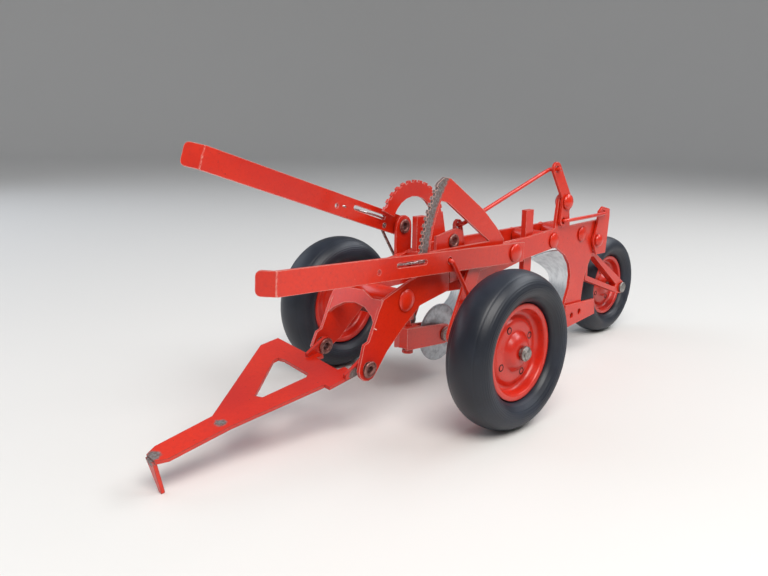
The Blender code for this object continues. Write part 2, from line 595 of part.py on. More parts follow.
def right_quadrant():
    """A half ring with a notched rim and a free front end, standing on a foot at its rear."""
    pivot = RIGHT_QUADRANT_CENTRE
    outer = notched_arc(pivot, 17.9, 0.8, 24.0, 170.0, 13)
    foot = [(-24.0, 62.0), (-26.0, 54.0), (-22.6, 54.0)]
    foot += arc(FURROW_CRANK_PIVOT, 4.6, 150.0, 30.0, 5) + [(-13.4, 50.4), (-1.0, 49.6), (-1.0, 55.4), (-15.2, 56.8)]
    inside = arc(pivot, 11.8, 206.0, 24.0, 12)
    mesh = prism("right_quadrant", outer + foot + inside, SHEET, holes=[(-5.8, 52.4, 1.4)], about=pivot)
    put("right_quadrant", mesh, (pivot[0], RIGHT_PLATE_Y, pivot[1]))


def pivots_and_brackets():
    x, z = RIGHT_LEVER_PIVOT
    bracket = arc((x, z), 4.2, 0.0, 180.0, 7) + [(x - 4.2, 50.6), (x + 4.2, 50.6)]
    mesh = prism("right_bracket", bracket, SHEET, holes=[(x, z, RIVET_HOLE), (x, 52.4, 1.4)], about=(x, z))
    put("right_lever_bracket", mesh, (x, FURROW_CRANK_Y - 0.2, z))
    y_in = FURROW_CRANK_Y - 0.2 + SHEET / 2
    y_out = RIGHT_LEVER_Y - SHEET / 2
    length = y_in - y_out + 2 * RUN
    put("right_lever_rivet", turned("right_pivot", eyelet_profile(length), 12), (x, (y_in + y_out) / 2, z),
        finish="steel")
    y_in = LEFT_BEAM_Y - BEAM_SHEET / 2
    y_out = LEFT_LEVER_Y + SHEET / 2
    length = y_out - y_in + 2 * RUN
    at = (LEFT_LEVER_PIVOT[0], (y_in + y_out) / 2, LEFT_LEVER_PIVOT[1])
    put("left_lever_rivet", turned("left_pivot", rivet_profile(length, head=3.6), 12), at)
    plate = [(5.0, 46.5), (5.0, 64.4), (-6.4, 66.2), (-10.2, 65.0), (-10.8, 61.0), (-7.6, 58.4), (-7.6, 46.5)]
    hole = (-4.6, 61.6, RIVET_HOLE)
    mesh = prism("shaft_bracket", plate, SHEET, holes=[hole], about=(0.0, 55.0))
    bracket_y = LEFT_BEAM_Y - BEAM_SHEET / 2 - RUN - SHEET / 2
    put("beam_bracket", mesh, (0.0, bracket_y, 55.0))
    put("beam_bracket_rivet", turned("bracket_rivet", eyelet_profile(SHEET + 2 * RUN), 12),
        (hole[0], bracket_y, hole[1]), finish="steel")
    inner = LEFT_BEAM_Y - BEAM_SHEET / 2
    outer = LEFT_PLATE_Y + SHEET / 2
    for name, at, head in (("rocker_rivet", ROCKER_PIVOT, 3.4), ("tail_rivet", TAIL_PIVOT, 2.9)):
        put(name, turned(name, rivet_profile(outer - inner + 2 * RUN, head=head, dome=1.8), 12),
            (at[0], (inner + outer) / 2, at[1]))


# ---- wheel cranks, links and rods -----------------------------------------------------------------
def crank_arm(pivot, axle, half=3.4):
    """A flat arm with round ends from the crank's pivot to the axle."""
    heading = math.degrees(math.atan2(axle[1] - pivot[1], axle[0] - pivot[0]))
    return arc(pivot, half, heading + 90.0, heading + 270.0, 6) + arc(axle, half, heading - 90.0, heading + 90.0, 6)


def link_rod(name, top, y, low, top_end, low_end, radius):
    """A rod with both ends turned sideways, one through the lever and one through the crank arm."""
    dx = low[0] - top[0]
    dz = low[1] - top[1]
    side = math.copysign(0.6, top_end)
    points = [(0.0, top_end, 0.0), (0.0, side, 0.0), (dx * 0.05, 0.0, dz * 0.05), (dx * 0.95, 0.0, dz * 0.95),
              (dx, side, dz), (dx, low_end, dz)]
    put(name, rod(name, points, radius), (top[0], y, top[1]), on=name + "_axis")


def land_side():
    pivot = LAND_CRANK_PIVOT
    axle = (LAND_WHEEL[0], LAND_WHEEL[2])
    on = "land_crank_axis"
    holes = [(*pivot, HOLE_RADIUS), (*axle, HOLE_RADIUS), (*LAND_CRANK_PIN, 1.4)]
    put("land_crank_arm", prism("land_arm", crank_arm(pivot, axle), SHEET, holes=holes, about=pivot),
        (pivot[0], LAND_CRANK_Y, pivot[1]), on=on)
    inner = LIFT_ARM_Y - SHEET / 2
    outer = LAND_CRANK_Y + SHEET / 2
    middle = (inner + outer) / 2
    shaft = [(2.6, inner - middle - 0.9, inner - middle - RUN), (PIN_RADIUS, inner - middle - RUN, outer - middle)]
    put("land_crank_shaft", turned("land_shaft", stepped_profile(shaft), 12), (pivot[0], middle, pivot[1]),
        on=on, finish="steel")
    lift = arc(pivot, 3.2, 180.0, 360.0, 6) + arc(LIFT_HOOK, 2.2, 0.0, 180.0, 5)
    holes = [(*pivot, HOLE_RADIUS), (*LIFT_HOOK, 1.3)]
    put("lift_arm", prism("lift_arm", lift, SHEET, holes=holes, about=pivot), (pivot[0], LIFT_ARM_Y, pivot[1]), on=on)
    axle_steps = [(2.7, -27.2, -25.9), (1.5, -25.9, -10.4), (2.8, -10.4, -5.9), (1.5, -5.9, 6.0), (2.6, 6.0, 7.4),
                  (1.9, 7.4, 8.0)]
    put("land_axle", turned("land_axle", stepped_profile(axle_steps), 14), LAND_WHEEL, on=on, finish="steel")
    link_rod("land_link", LAND_HOOK, LAND_LINK_Y, LAND_CRANK_PIN, -2.6, -4.6, 0.8)


def furrow_side():
    pivot = FURROW_CRANK_PIVOT
    axle = (FURROW_WHEEL[0], FURROW_WHEEL[2])
    on = "furrow_crank_axis"
    holes = [(*pivot, HOLE_RADIUS), (*axle, HOLE_RADIUS), (*FURROW_CRANK_PIN, 1.4)]
    put("furrow_crank_arm", prism("furrow_arm", crank_arm(pivot, axle), SHEET, holes=holes, about=pivot),
        (pivot[0], FURROW_CRANK_Y, pivot[1]), on=on)
    inner = RIGHT_BEAM_Y + BEAM_SHEET / 2
    outer = FURROW_CRANK_Y - SHEET / 2
    middle = (inner + outer) / 2
    shaft = [(2.6, outer - middle - 0.9, outer - middle - RUN), (PIN_RADIUS, outer - middle - RUN, inner - middle + RUN),
             (2.6, inner - middle + RUN, inner - middle + 1.0)]
    put("furrow_crank_shaft", turned("furrow_shaft", stepped_profile(shaft), 12), (pivot[0], middle, pivot[1]),
        on=on, finish="steel")
    start = FURROW_CRANK_Y + SHEET / 2 - FURROW_WHEEL[1]
    axle_steps = [(1.9, -8.0, -7.4), (2.6, -7.4, -6.0), (1.5, -6.0, 5.9), (2.8, 5.9, 10.4), (1.5, 10.4, start + RUN),
                  (2.7, start + RUN, start + 1.3)]
    put("furrow_axle", turned("furrow_axle", stepped_profile(axle_steps), 14), FURROW_WHEEL, on=on, finish="steel")
    link_rod("furrow_link", FURROW_HOOK, FURROW_LINK_Y, FURROW_CRANK_PIN, 2.9, 5.4, 0.55)


def lift_linkage():
    """The long rod to the rocker, the rocker, the short rod and the tail bracket."""
    near = LIFT_ARM_Y - SHEET / 2 - 0.9
    far = LEFT_PLATE_Y + SHEET / 2 + 1.5
    hook = Vector((LIFT_HOOK[0], 0.0, LIFT_HOOK[1]))
    top = Vector((ROCKER_TOP[0], 0.0, ROCKER_TOP[1]))
    run_y = LIFT_ARM_Y + 1.75
    line = top - hook
    start = hook + line * 0.04
    close = hook + line * 0.94
    points = [(0.0, near - run_y, 0.0), (0.0, -0.5, 0.0)]
    points += [tuple(start - hook), tuple(close - hook)]
    points += [(line.x, 0.6, line.z), (line.x, far - run_y, line.z)]
    mesh = rod("lift_rod", points, 0.8, sides=8)
    put("lift_rod", mesh, (hook.x, run_y, hook.z), on="lift_rod_axis")

    arm = arc(ROCKER_PIVOT, 3.8, 140.0, 200.0, 2) + arc(ROCKER_LUG, 2.6, 200.0, 350.0, 5)
    arm += arc(ROCKER_PIVOT, 3.8, -20.0, 20.0, 2) + arc(ROCKER_TOP, 3.0, -20.0, 150.0, 6)
    holes = [(*ROCKER_PIVOT, RIVET_HOLE), (*ROCKER_TOP, 1.5), (*ROCKER_LUG, 1.4)]
    put("rear_rocker", prism("rocker", arm, SHEET, holes=holes, about=ROCKER_PIVOT),
        (ROCKER_PIVOT[0], LEFT_PLATE_Y, ROCKER_PIVOT[1]), on="rocker_axis")

    lug = Vector((ROCKER_LUG[0], 0.0, ROCKER_LUG[1]))
    tail = Vector((TAIL_LUG[0], 0.0, TAIL_LUG[1])) - lug
    out = LEFT_PLATE_Y + SHEET / 2 + 0.9
    rod_y = LEFT_PLATE_Y + SHEET / 2 + 1.3
    points = [(0.0, LEFT_PLATE_Y - SHEET / 2 - rod_y, 0.0), (0.0, -0.5, 0.0), (-1.4, 0.0, 0.05),
              (tail.x + 1.4, 0.0, tail.z), (tail.x, -0.5, tail.z), (tail.x, LEFT_PLATE_Y - SHEET / 2 - 0.6 - rod_y, tail.z)]
    put("tail_rod", rod("tail_rod", points, 0.75, sides=8), (lug.x, rod_y, lug.z), on="tail_rod_axis")

    stem = [(-105.0, 45.7)] + arc(TAIL_PIVOT, 3.8, -50.0, 50.0, 4)
    stem += [(-104.2, 60.0), (-105.0, 65.4), (-108.0, 67.4), (-114.2, 66.0), (-114.6, 63.0), (-113.0, 45.7)]
    bracket = put("tail_bracket", prism("tail_stem", stem, SHEET, about=TAIL_PIVOT,
                  holes=[(*TAIL_PIVOT, RIVET_HOLE), (*TAIL_LUG, 1.4)]),
                  (TAIL_PIVOT[0], LEFT_PLATE_Y, TAIL_PIVOT[1]), on="tail_bracket_axis")
    shelf = prism("tail_shelf", [(-105.2, LEFT_PLATE_Y + 0.5), (-105.2, -35.6), (-112.4, -35.6),
                                 (-112.4, LEFT_PLATE_Y + 0.5)], SHEET, plane="XY", about=(-108.8, -31.0))
    weld(bracket, shelf, (-108.8, -31.0, 46.6), on="tail_bracket_axis")

    axle = (TAIL_WHEEL[0], TAIL_WHEEL[2])
    outer = arc(axle, 3.2, 118.0, 286.0, 6) + [(-106.0, 32.6), (-105.2, 45.4), (-112.6, 45.4)]
    inner = [(-107.4, 43.2), (-112.2, 43.4), (-136.4, 26.6), (-135.6, 25.2), (-107.6, 34.6)]
    fork = prism("tail_fork", outer, 3.8, holes=[(*axle, HOLE_RADIUS), (inner,)], about=axle)
    put("tail_fork", fork, (axle[0], -33.8, axle[1]), on="tail_bracket_axis")
    steps = [(2.5, -6.2, -5.4), (1.4, -5.4, 5.2), (2.6, 5.2, 7.9), (1.5, 7.9, 12.4), (2.6, 12.4, 13.4)]
    put("tail_axle", turned("tail_axle", stepped_profile(steps), 14), TAIL_WHEEL, on="tail_bracket_axis",
        finish="steel")


# ---- wheels -------------------------------------------------------------------------------------
def wheel(name, centre, radius, axis):
    """A round-section tyre on a pressed rim with a raised hub, both turned about the axle."""
    k = radius / FRONT_WHEEL_RADIUS
    crown = [(22.4 + 5.6 * math.cos(t), 8.5 * math.sin(t)) for t in np.radians(np.linspace(-118.0, 118.0, 13))]
    tyre = [(15.35, -3.7), (17.35, -3.7), (17.9, -5.6)] + crown + [(17.9, 5.6), (17.35, 3.7), (15.35, 3.7)]
    face = [(1.85, 5.4), (3.0, 5.4), (8.8, 4.3), (10.6, 1.1), (14.0, 1.3), (14.7, 4.9), (17.0, 4.9), (17.0, 4.1),
            (15.05, 4.0)]
    rim = face + [(r, -y) for r, y in reversed(face)]
    put(name + "_tyre", turned(name + "_tyre", [(r * k, y * k) for r, y in tyre], 32), centre, on=axis,
        finish="rubber")
    bored = [(max(r * k, 1.85), y * k) for r, y in rim]
    put(name + "_rim", turned(name + "_rim", bored, 28), centre, on=axis)


# ---- the drawbar --------------------------------------------------------------------------------
HITCH_LENGTH = 74.2
PLATE_DROP = 1.7                # the plate lies this far under the hinge line


def drawbar():
    """An offset A-shaped plate with two lugs at the hinge and a pointed hook at the tongue's tip."""
    left = (LEFT_PLATE_Y - RIGHT_PLATE_Y) / 2
    slope = math.radians(DRAWBAR_SLOPE)
    outline = [(3.5, 1.7), (15.0, 1.7), (15.2, 3.9), (49.4, 7.3), (70.0, 7.4), (HITCH_LENGTH - 0.6, 9.0),
               (HITCH_LENGTH - 0.6, 13.6), (70.0, 15.2), (50.2, 15.6), (14.4, 38.8), (7.0, 38.4), (6.5, 21.5),
               (3.5, 21.5), (3.5, 17.8), (6.2, 18.2), (6.2, 7.6), (3.5, 7.2)]
    hole = [(34.7, 15.0), (33.4, 12.6), (16.4, 11.6), (14.6, 12.8), (14.6, 25.4), (15.4, 27.6), (17.4, 27.6)]
    plan = [(a, left - b) for a, b in outline]
    cut = [(a, left - b) for a, b in hole]
    at = EAR_MIDDLE
    plate = prism("drawbar", plan, SHEET, holes=[(cut,)], plane="XY")
    for vertex in plate.vertices:
        vertex.co.z -= PLATE_DROP * MM
    bar = put("drawbar", plate, at, on="drawbar_axis")
    lug = arc((0.0, 0.0), 3.2, 80.0, 250.0, 7) + [(3.0, -2.0), (8.2, -PLATE_DROP), (8.2, 0.2)]
    for across in (1.4 + SHEET / 2, 21.8 - SHEET / 2):
        mesh = prism("lug", lug, SHEET, holes=[(0.0, 0.0, 2.3)], plane="XZ")
        for vertex in mesh.vertices:
            vertex.co.y += (left - across) * MM
        weld(bar, mesh, at, on="drawbar_axis")
    roll = math.radians(ear_rise)
    tip = left - 7.1
    lowest = EAR_MIDDLE[2] - tip * math.sin(roll) - HITCH_LENGTH * math.sin(slope) * math.cos(roll)
    drop = lowest / (math.cos(slope) * math.cos(roll))
    hook = [(left - 9.3, -PLATE_DROP), (left - 8.7, -PLATE_DROP - 3.0), (left - 7.1, -drop),
            (left - 8.4, -drop), (left - 11.6, -PLATE_DROP - 3.4), (left - 13.3, -PLATE_DROP)]
    mesh = prism("hook", hook, SHEET, plane="YZ")
    for vertex in mesh.vertices:
        vertex.co.x += (HITCH_LENGTH - SHEET / 2) * MM
    weld(bar, mesh, at, on="drawbar_axis")

    for name, ear, plate_y, side in (("left_ear_rivet", LEFT_EAR, LEFT_PLATE_Y, 1.0),
                                     ("right_ear_rivet", RIGHT_EAR, RIGHT_PLATE_Y, -1.0)):
        length = 4.45
        inwards = 0.83
        rise = side * inwards * math.tan(math.radians(ear_rise))
        middle = (ear[0], plate_y - side * inwards, ear[1] + rise)
        put(name, turned(name, eyelet_profile(length, head=3.0), 12), middle, finish="steel",
            turn=(-ear_rise, 0.0, 0.0))


# ---- build ----------------------------------------------------------------------------------------
front_yoke()
left_beam()
right_beam()
cross_tubes()
bottoms()
for end, pin, beam_y, towards in (("front", FRONT_COULTER_PIN, RIGHT_BEAM_Y, -1.0),
                                  ("rear", REAR_COULTER_PIN, LEFT_BEAM_Y, 1.0)):
    coulter(end, pin)
    coulter_clamp(end, pin, beam_y, towards)
levers()
left_quadrant()
right_quadrant()
pivots_and_brackets()
land_side()
furrow_side()
lift_linkage()
wheel("land", LAND_WHEEL, FRONT_WHEEL_RADIUS, "land_wheel_axis")
wheel("furrow", FURROW_WHEEL, FRONT_WHEEL_RADIUS, "furrow_wheel_axis")
wheel("tail", TAIL_WHEEL, TAIL_WHEEL_RADIUS, "tail_wheel_axis")
drawbar()
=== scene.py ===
# %% [markdown]
# A toy plough, dressed. The frame of the toy is loaded first and stays as it is: this script
# only gives it its finish, and finer surfaces where the plain solids are too coarse to look real.
# Lengths are written in millimetres and turned into Blender's metres by MM.

# %% Load the frame
import json
import math

import bmesh
import bpy
import numpy as np
from mathutils import Matrix, Vector


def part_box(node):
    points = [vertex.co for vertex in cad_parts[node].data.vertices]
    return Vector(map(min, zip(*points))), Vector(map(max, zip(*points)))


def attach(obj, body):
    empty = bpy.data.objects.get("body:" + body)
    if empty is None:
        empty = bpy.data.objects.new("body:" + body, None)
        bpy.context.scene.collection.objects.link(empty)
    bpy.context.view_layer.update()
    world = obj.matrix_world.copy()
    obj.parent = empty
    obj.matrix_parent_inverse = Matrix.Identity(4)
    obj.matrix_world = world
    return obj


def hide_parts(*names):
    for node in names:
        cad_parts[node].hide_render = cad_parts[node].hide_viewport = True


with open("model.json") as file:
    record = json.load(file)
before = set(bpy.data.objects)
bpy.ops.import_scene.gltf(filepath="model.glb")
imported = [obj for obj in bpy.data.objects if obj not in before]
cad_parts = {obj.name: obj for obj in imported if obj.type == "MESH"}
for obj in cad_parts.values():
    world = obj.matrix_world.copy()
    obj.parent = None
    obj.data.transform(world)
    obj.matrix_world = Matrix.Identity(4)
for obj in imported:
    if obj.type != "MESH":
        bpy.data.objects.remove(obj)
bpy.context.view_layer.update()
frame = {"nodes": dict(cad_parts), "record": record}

MM = 0.001
nodes = frame["nodes"]
bodies = frame["record"]["behaviour"]["bodies"]
body_of = {node: body for body, held in bodies.items() for node in held}
slot_of = {part["node"]: part["material_slot"] for part in frame["record"]["subparts"]}

# %% [markdown]
# The camera looks down a little from the plough's front left corner, about 330 mm away. Its place and
# its three turns are worked out once, as a matrix whose columns are right, up and backwards.

# %% The camera
CAMERA_AT = Vector((242.34, 193.8, 105.2)) * MM
CAMERA_YAW = math.radians(-136.23)
CAMERA_PITCH = math.radians(12.29)
CAMERA_ROLL = math.radians(0.93)
SENSOR = 36.0
FOCAL_LENGTH = 36.66
ahead = Vector((math.cos(CAMERA_PITCH) * math.cos(CAMERA_YAW),
                math.cos(CAMERA_PITCH) * math.sin(CAMERA_YAW), -math.sin(CAMERA_PITCH)))
level = ahead.cross(Vector((0.0, 0.0, 1.0))).normalized()
upright = level.cross(ahead)
right = level * math.cos(CAMERA_ROLL) + upright * math.sin(CAMERA_ROLL)
up = upright * math.cos(CAMERA_ROLL) - level * math.sin(CAMERA_ROLL)
camera = bpy.data.objects.new("camera", bpy.data.cameras.new("camera"))
bpy.context.scene.collection.objects.link(camera)
camera.matrix_world = Matrix(((right.x, up.x, -ahead.x, CAMERA_AT.x), (right.y, up.y, -ahead.y, CAMERA_AT.y),
                              (right.z, up.z, -ahead.z, CAMERA_AT.z), (0.0, 0.0, 0.0, 1.0)))
camera.data.sensor_width = SENSOR
camera.data.lens = FOCAL_LENGTH
camera.data.clip_start = 0.01
bpy.context.scene.camera = camera
print("camera", [round(v, 4) for v in CAMERA_AT])

# %% [markdown]
# A small glossy toy needs large soft lights, because every lamp is mirrored in its enamel. One wide
# panel hangs above and in front, a cooler one fills from the right, and a long one behind draws the
# bright lines along the top edges. The floor is a wide pale bowl, so it looks the same from all sides.


# %% Floor and lights
def link(name, data):
    """Makes an object of the data and puts it in the scene, at the origin."""
    made = bpy.data.objects.new(name, data)
    bpy.context.scene.collection.objects.link(made)
    return made


def floor_sheet():
    """A wide round bowl: flat to a radius of 1.7, then its wall rises in a quarter circle and goes up."""
    bend = np.linspace(0.0, np.pi / 2, 16)
    reach = np.concatenate([[0.01, 0.4, 1.0], 1.7 + 0.8 * np.sin(bend), [2.5]])
    height = np.concatenate([[0.0, 0.0, 0.0], 0.8 - 0.8 * np.cos(bend), [1.9]])
    turn = np.linspace(0.0, 2 * np.pi, 96, endpoint=False)
    x = reach[:, None] * np.cos(turn)
    y = reach[:, None] * np.sin(turn)
    points = np.stack([x, y, height[:, None] + 0.0 * x], axis=2)
    points[0] = 0.0
    index = np.arange(points.shape[0] * 96).reshape(-1, 96)
    after = np.roll(index, -1, axis=1)
    quads = np.stack([index[:-1], index[1:], after[1:], after[:-1]], axis=2).reshape(-1, 4)
    mesh = bpy.data.meshes.new("floor")
    mesh.from_pydata(points.reshape(-1, 3).tolist(), [], quads.tolist())
    work = bmesh.new()
    work.from_mesh(mesh)
    bmesh.ops.remove_doubles(work, verts=work.verts, dist=1e-7)
    work.to_mesh(mesh)
    work.free()
    mesh.shade_smooth()
    return link("floor", mesh)


def panel(name, at, aim, size, power, colour):
    """A soft rectangular lamp of `size` metres at `at`, turned to face `aim`."""
    lamp = bpy.data.lights.new(name, "AREA")
    lamp.shape = "RECTANGLE"
    lamp.size, lamp.size_y = size
    lamp.energy = power
    lamp.color = colour
    placed = link(name, lamp)
    placed.location = at
    placed.rotation_euler = (Vector(aim) - Vector(at)).to_track_quat("-Z", "Y").to_euler()


floor = floor_sheet()
panel("key", (0.30, 0.42, 0.70), (0.0, 0.0, 0.03), (0.6, 0.45), 6.2, (1.0, 0.97, 0.93))
panel("cool_fill", (0.30, -0.75, 0.42), (0.0, 0.0, 0.05), (0.7, 0.5), 2.2, (0.80, 0.88, 1.0))
panel("edge_light", (-0.55, 0.25, 0.65), (0.0, 0.0, 0.05), (0.9, 0.3), 4.0, (0.93, 0.96, 1.0))
world = bpy.data.worlds.new("studio")
world.use_nodes = True
world.node_tree.nodes["Background"].inputs["Color"].default_value = (0.80, 0.86, 0.95, 1.0)
world.node_tree.nodes["Background"].inputs["Strength"].default_value = 0.34
bpy.context.scene.world = world
bpy.context.scene.view_settings.view_transform = "Standard"

# %% [markdown]
# Paint on a played-with toy wears first along its edges. The edge group compares the true surface
# direction with one that is rounded over a small radius: they differ only near an edge. A noise
# breaks the line into chips. It is used in every painted and metal finish, so it is built once. In
# the enamel, the pale pink it lays on the edges is partly chipped paint and partly a painted highlight.


# %% A group for worn edges
def new_group(name, inputs, outputs):
    """An empty node group with named sockets, and its input and output nodes."""
    group = bpy.data.node_groups.new(name, "ShaderNodeTree")
    for label, kind, value in inputs:
        made = group.interface.new_socket(label, in_out="INPUT", socket_type=kind)
        made.default_value = value
    for label, kind in outputs:
        group.interface.new_socket(label, in_out="OUTPUT", socket_type=kind)
    return group, group.nodes.new("NodeGroupInput"), group.nodes.new("NodeGroupOutput")


def math_node(tree, operation, first, second=None, third=None):
    """One step of arithmetic; each term is a number or another node's output."""
    node = tree.nodes.new("ShaderNodeMath")
    node.operation = operation
    for socket, value in zip(node.inputs, (first, second, third)):
        if value is None:
            continue
        if isinstance(value, (int, float)):
            socket.default_value = value
        else:
            tree.links.new(value, socket)
    return node.outputs[0]


def ramp(tree, value, low, high):
    """0 below `low`, 1 above `high` and a smooth step between them."""
    node = tree.nodes.new("ShaderNodeMapRange")
    node.interpolation_type = "SMOOTHSTEP"
    tree.links.new(value, node.inputs["Value"])
    node.inputs["From Min"].default_value = low
    node.inputs["From Max"].default_value = high
    return node.outputs["Result"]


def noise(tree, scale, detail=5.0, rough=0.6):
    """Fractal noise on the piece's own coordinates. `scale`, a number or an output, is per metre."""
    vector = tree.nodes.new("ShaderNodeTexCoord").outputs["Object"]
    node = tree.nodes.new("ShaderNodeTexNoise")
    node.inputs["Detail"].default_value = detail
    node.inputs["Roughness"].default_value = rough
    tree.links.new(vector, node.inputs["Vector"])
    if isinstance(scale, (int, float)):
        node.inputs["Scale"].default_value = scale
    else:
        tree.links.new(scale, node.inputs["Scale"])
    return node.outputs["Fac"]


def build_edge_group():
    """Mask = ramp of (1 - rounded normal . surface normal) x spread + noise: 1 on an edge, for wear and a
    painted edge highlight.
    """
    group, taken, given = new_group("worn and highlit edges", [("Radius", "NodeSocketFloat", 0.0005),
                                                   ("Chips", "NodeSocketFloat", 900.0),
                                                   ("Spread", "NodeSocketFloat", 1.0)],
                                    [("Mask", "NodeSocketFloat")])
    rounded = group.nodes.new("ShaderNodeBevel")
    rounded.samples = 6
    group.links.new(taken.outputs["Radius"], rounded.inputs["Radius"])
    true = group.nodes.new("ShaderNodeNewGeometry")
    dot = group.nodes.new("ShaderNodeVectorMath")
    dot.operation = "DOT_PRODUCT"
    group.links.new(rounded.outputs[0], dot.inputs[0])
    group.links.new(true.outputs["Normal"], dot.inputs[1])
    off = math_node(group, "SUBTRACT", 1.0, dot.outputs["Value"])
    edge = math_node(group, "MULTIPLY", off, taken.outputs["Spread"])
    grain = noise(group, taken.outputs["Chips"], 6.0, 0.7)
    broken = math_node(group, "ADD", edge, math_node(group, "MULTIPLY_ADD", grain, 0.9, -0.45))
    group.links.new(ramp(group, broken, 0.14, 0.30), given.inputs["Mask"])
    return group


def build_rub_group():
    """Bare patches: a ball of wear round a place, broken up by noise."""
    group, taken, given = new_group("rubbed patch", [("Place", "NodeSocketVector", (0.0, 0.0, 0.0)),
                                                     ("Reach", "NodeSocketFloat", 0.004)],
                                    [("Mask", "NodeSocketFloat")])
    here = group.nodes.new("ShaderNodeTexCoord")
    apart = group.nodes.new("ShaderNodeVectorMath")
    apart.operation = "DISTANCE"
    group.links.new(here.outputs["Object"], apart.inputs[0])
    group.links.new(taken.outputs["Place"], apart.inputs[1])
    near = math_node(group, "DIVIDE", apart.outputs["Value"], taken.outputs["Reach"])
    ragged = math_node(group, "ADD", near, math_node(group, "MULTIPLY", noise(group, 700.0, 6.0, 0.7), 0.9))
    inside = ramp(group, ragged, 1.25, 0.95)
    group.links.new(inside, given.inputs["Mask"])
    return group


EDGES = build_edge_group()
RUBBED = build_rub_group()
print("groups", EDGES.name, "and", RUBBED.name)

# %% [markdown]
# The red is a thick glossy stoving enamel. A slow noise takes it a little from orange towards crimson,
# and two fine ones mottle and speck it. The pale pink along the edges is partly chipped paint showing
# primer and partly a painted highlight, and bigger rubs show dull steel. The gloss is the shader's own,
# with a thin clear coat.


# %% The finishes
def finish(name, colour, roughness, metallic=0.0, coat=0.0):
    """A plain finish to build on: the material, its nodes and its shader."""
    made = bpy.data.materials.new(name)
    made.use_nodes = True
    shader = made.node_tree.nodes["Principled BSDF"]
    shader.inputs["Base Color"].default_value = (*colour, 1.0)
    shader.inputs["Roughness"].default_value = roughness
    shader.inputs["Metallic"].default_value = metallic
    shader.inputs["Coat Weight"].default_value = coat
    shader.inputs["Coat Roughness"].default_value = 0.12
    return made, made.node_tree, shader


def mix_colour(tree, mask, low, high):
    node = tree.nodes.new("ShaderNodeMix")
    node.data_type = "RGBA"
    tree.links.new(mask, node.inputs[0])
    for socket, value in ((node.inputs[6], low), (node.inputs[7], high)):
        if isinstance(value, tuple):
            socket.default_value = (*value, 1.0)
        else:
            tree.links.new(value, socket)
    return node.outputs[2]


def mix_value(tree, mask, low, high):
    node = tree.nodes.new("ShaderNodeMix")
    tree.links.new(mask, node.inputs[0])
    for socket, value in ((node.inputs[2], low), (node.inputs[3], high)):
        if isinstance(value, (int, float)):
            socket.default_value = value
        else:
            tree.links.new(value, socket)
    return node.outputs[0]


def use_group(tree, group, **values):
    """Places a group in a finish with its own values and gives its mask."""
    node = tree.nodes.new("ShaderNodeGroup")
    node.node_tree = group
    for label, value in values.items():
        node.inputs[label].default_value = value
    return node.outputs["Mask"]


def bump(tree, shader, height, strength, distance):
    node = tree.nodes.new("ShaderNodeBump")
    node.inputs["Strength"].default_value = strength
    node.inputs["Distance"].default_value = distance
    tree.links.new(height, node.inputs["Height"])
    tree.links.new(node.outputs["Normal"], shader.inputs["Normal"])


ORANGE_RED = (0.68, 0.024, 0.004)
CRIMSON = (0.36, 0.004, 0.012)
# The pale pink below is primer showing in edge chips and also a painted highlight along every edge.
PRIMER_AND_EDGE_HIGHLIGHT = (0.72, 0.42, 0.36)
BARE = (0.20, 0.19, 0.19)


def enamel(name, chips=1.0, rubs=(), worn_band=None, edge_tint=PRIMER_AND_EDGE_HIGHLIGHT):
    """Red enamel: `rubs` are (place, reach) balls of bare metal, `worn_band` a (centre, radius) ring."""
    made, tree, shader = finish(name, ORANGE_RED, 0.30, coat=0.25)
    slow = ramp(tree, noise(tree, 30.0, 3.0, 0.5), 0.35, 0.80)
    paint = mix_colour(tree, math_node(tree, "MULTIPLY", slow, 0.40), ORANGE_RED, CRIMSON)
    mottle = ramp(tree, noise(tree, 900.0, 5.0, 0.7), 0.40, 0.75)
    paint = mix_colour(tree, math_node(tree, "MULTIPLY", mottle, 0.35), paint, (0.42, 0.012, 0.010))
    specks = ramp(tree, noise(tree, 1500.0, 2.0, 0.5), 0.70, 0.76)
    paint = mix_colour(tree, specks, paint, (0.22, 0.012, 0.012))
    bare = None
    for place, reach in rubs:
        patch = use_group(tree, RUBBED, Place=place, Reach=reach)
        bare = patch if bare is None else math_node(tree, "MAXIMUM", bare, patch)
    if worn_band:
        centre, radius = worn_band
        here = tree.nodes.new("ShaderNodeTexCoord")
        apart = tree.nodes.new("ShaderNodeVectorMath")
        apart.operation = "DISTANCE"
        apart.inputs[1].default_value = centre
        tree.links.new(here.outputs["Object"], apart.inputs[0])
        ragged = math_node(tree, "MULTIPLY_ADD", noise(tree, 900.0, 5.0, 0.7), 0.003, apart.outputs["Value"])
        band = ramp(tree, ragged, radius, radius + 0.0012)
        bare = band if bare is None else math_node(tree, "MAXIMUM", bare, band)
    if bare is not None:
        streak = noise(tree, 1300.0, 4.0, 0.7)
        tarnish = mix_colour(tree, ramp(tree, streak, 0.35, 0.65), (0.11, 0.060, 0.050), BARE)
        paint = mix_colour(tree, bare, paint, tarnish)
    # Edges take edge_tint: by default a pale pink that is partly primer in chips and partly a painted
    # highlight.
    edge = use_group(tree, EDGES, Radius=0.00045, Chips=800.0, Spread=1.6 * chips)
    paint = mix_colour(tree, edge, paint, edge_tint)
    tree.links.new(paint, shader.inputs["Base Color"])
    rough = mix_value(tree, edge, 0.30, 0.55)
    if bare is not None:
        rough = mix_value(tree, bare, rough, 0.62)
    tree.links.new(rough, shader.inputs["Roughness"])
    bump(tree, shader, noise(tree, 260.0, 3.0, 0.5), 0.25, 0.0002)
    return made


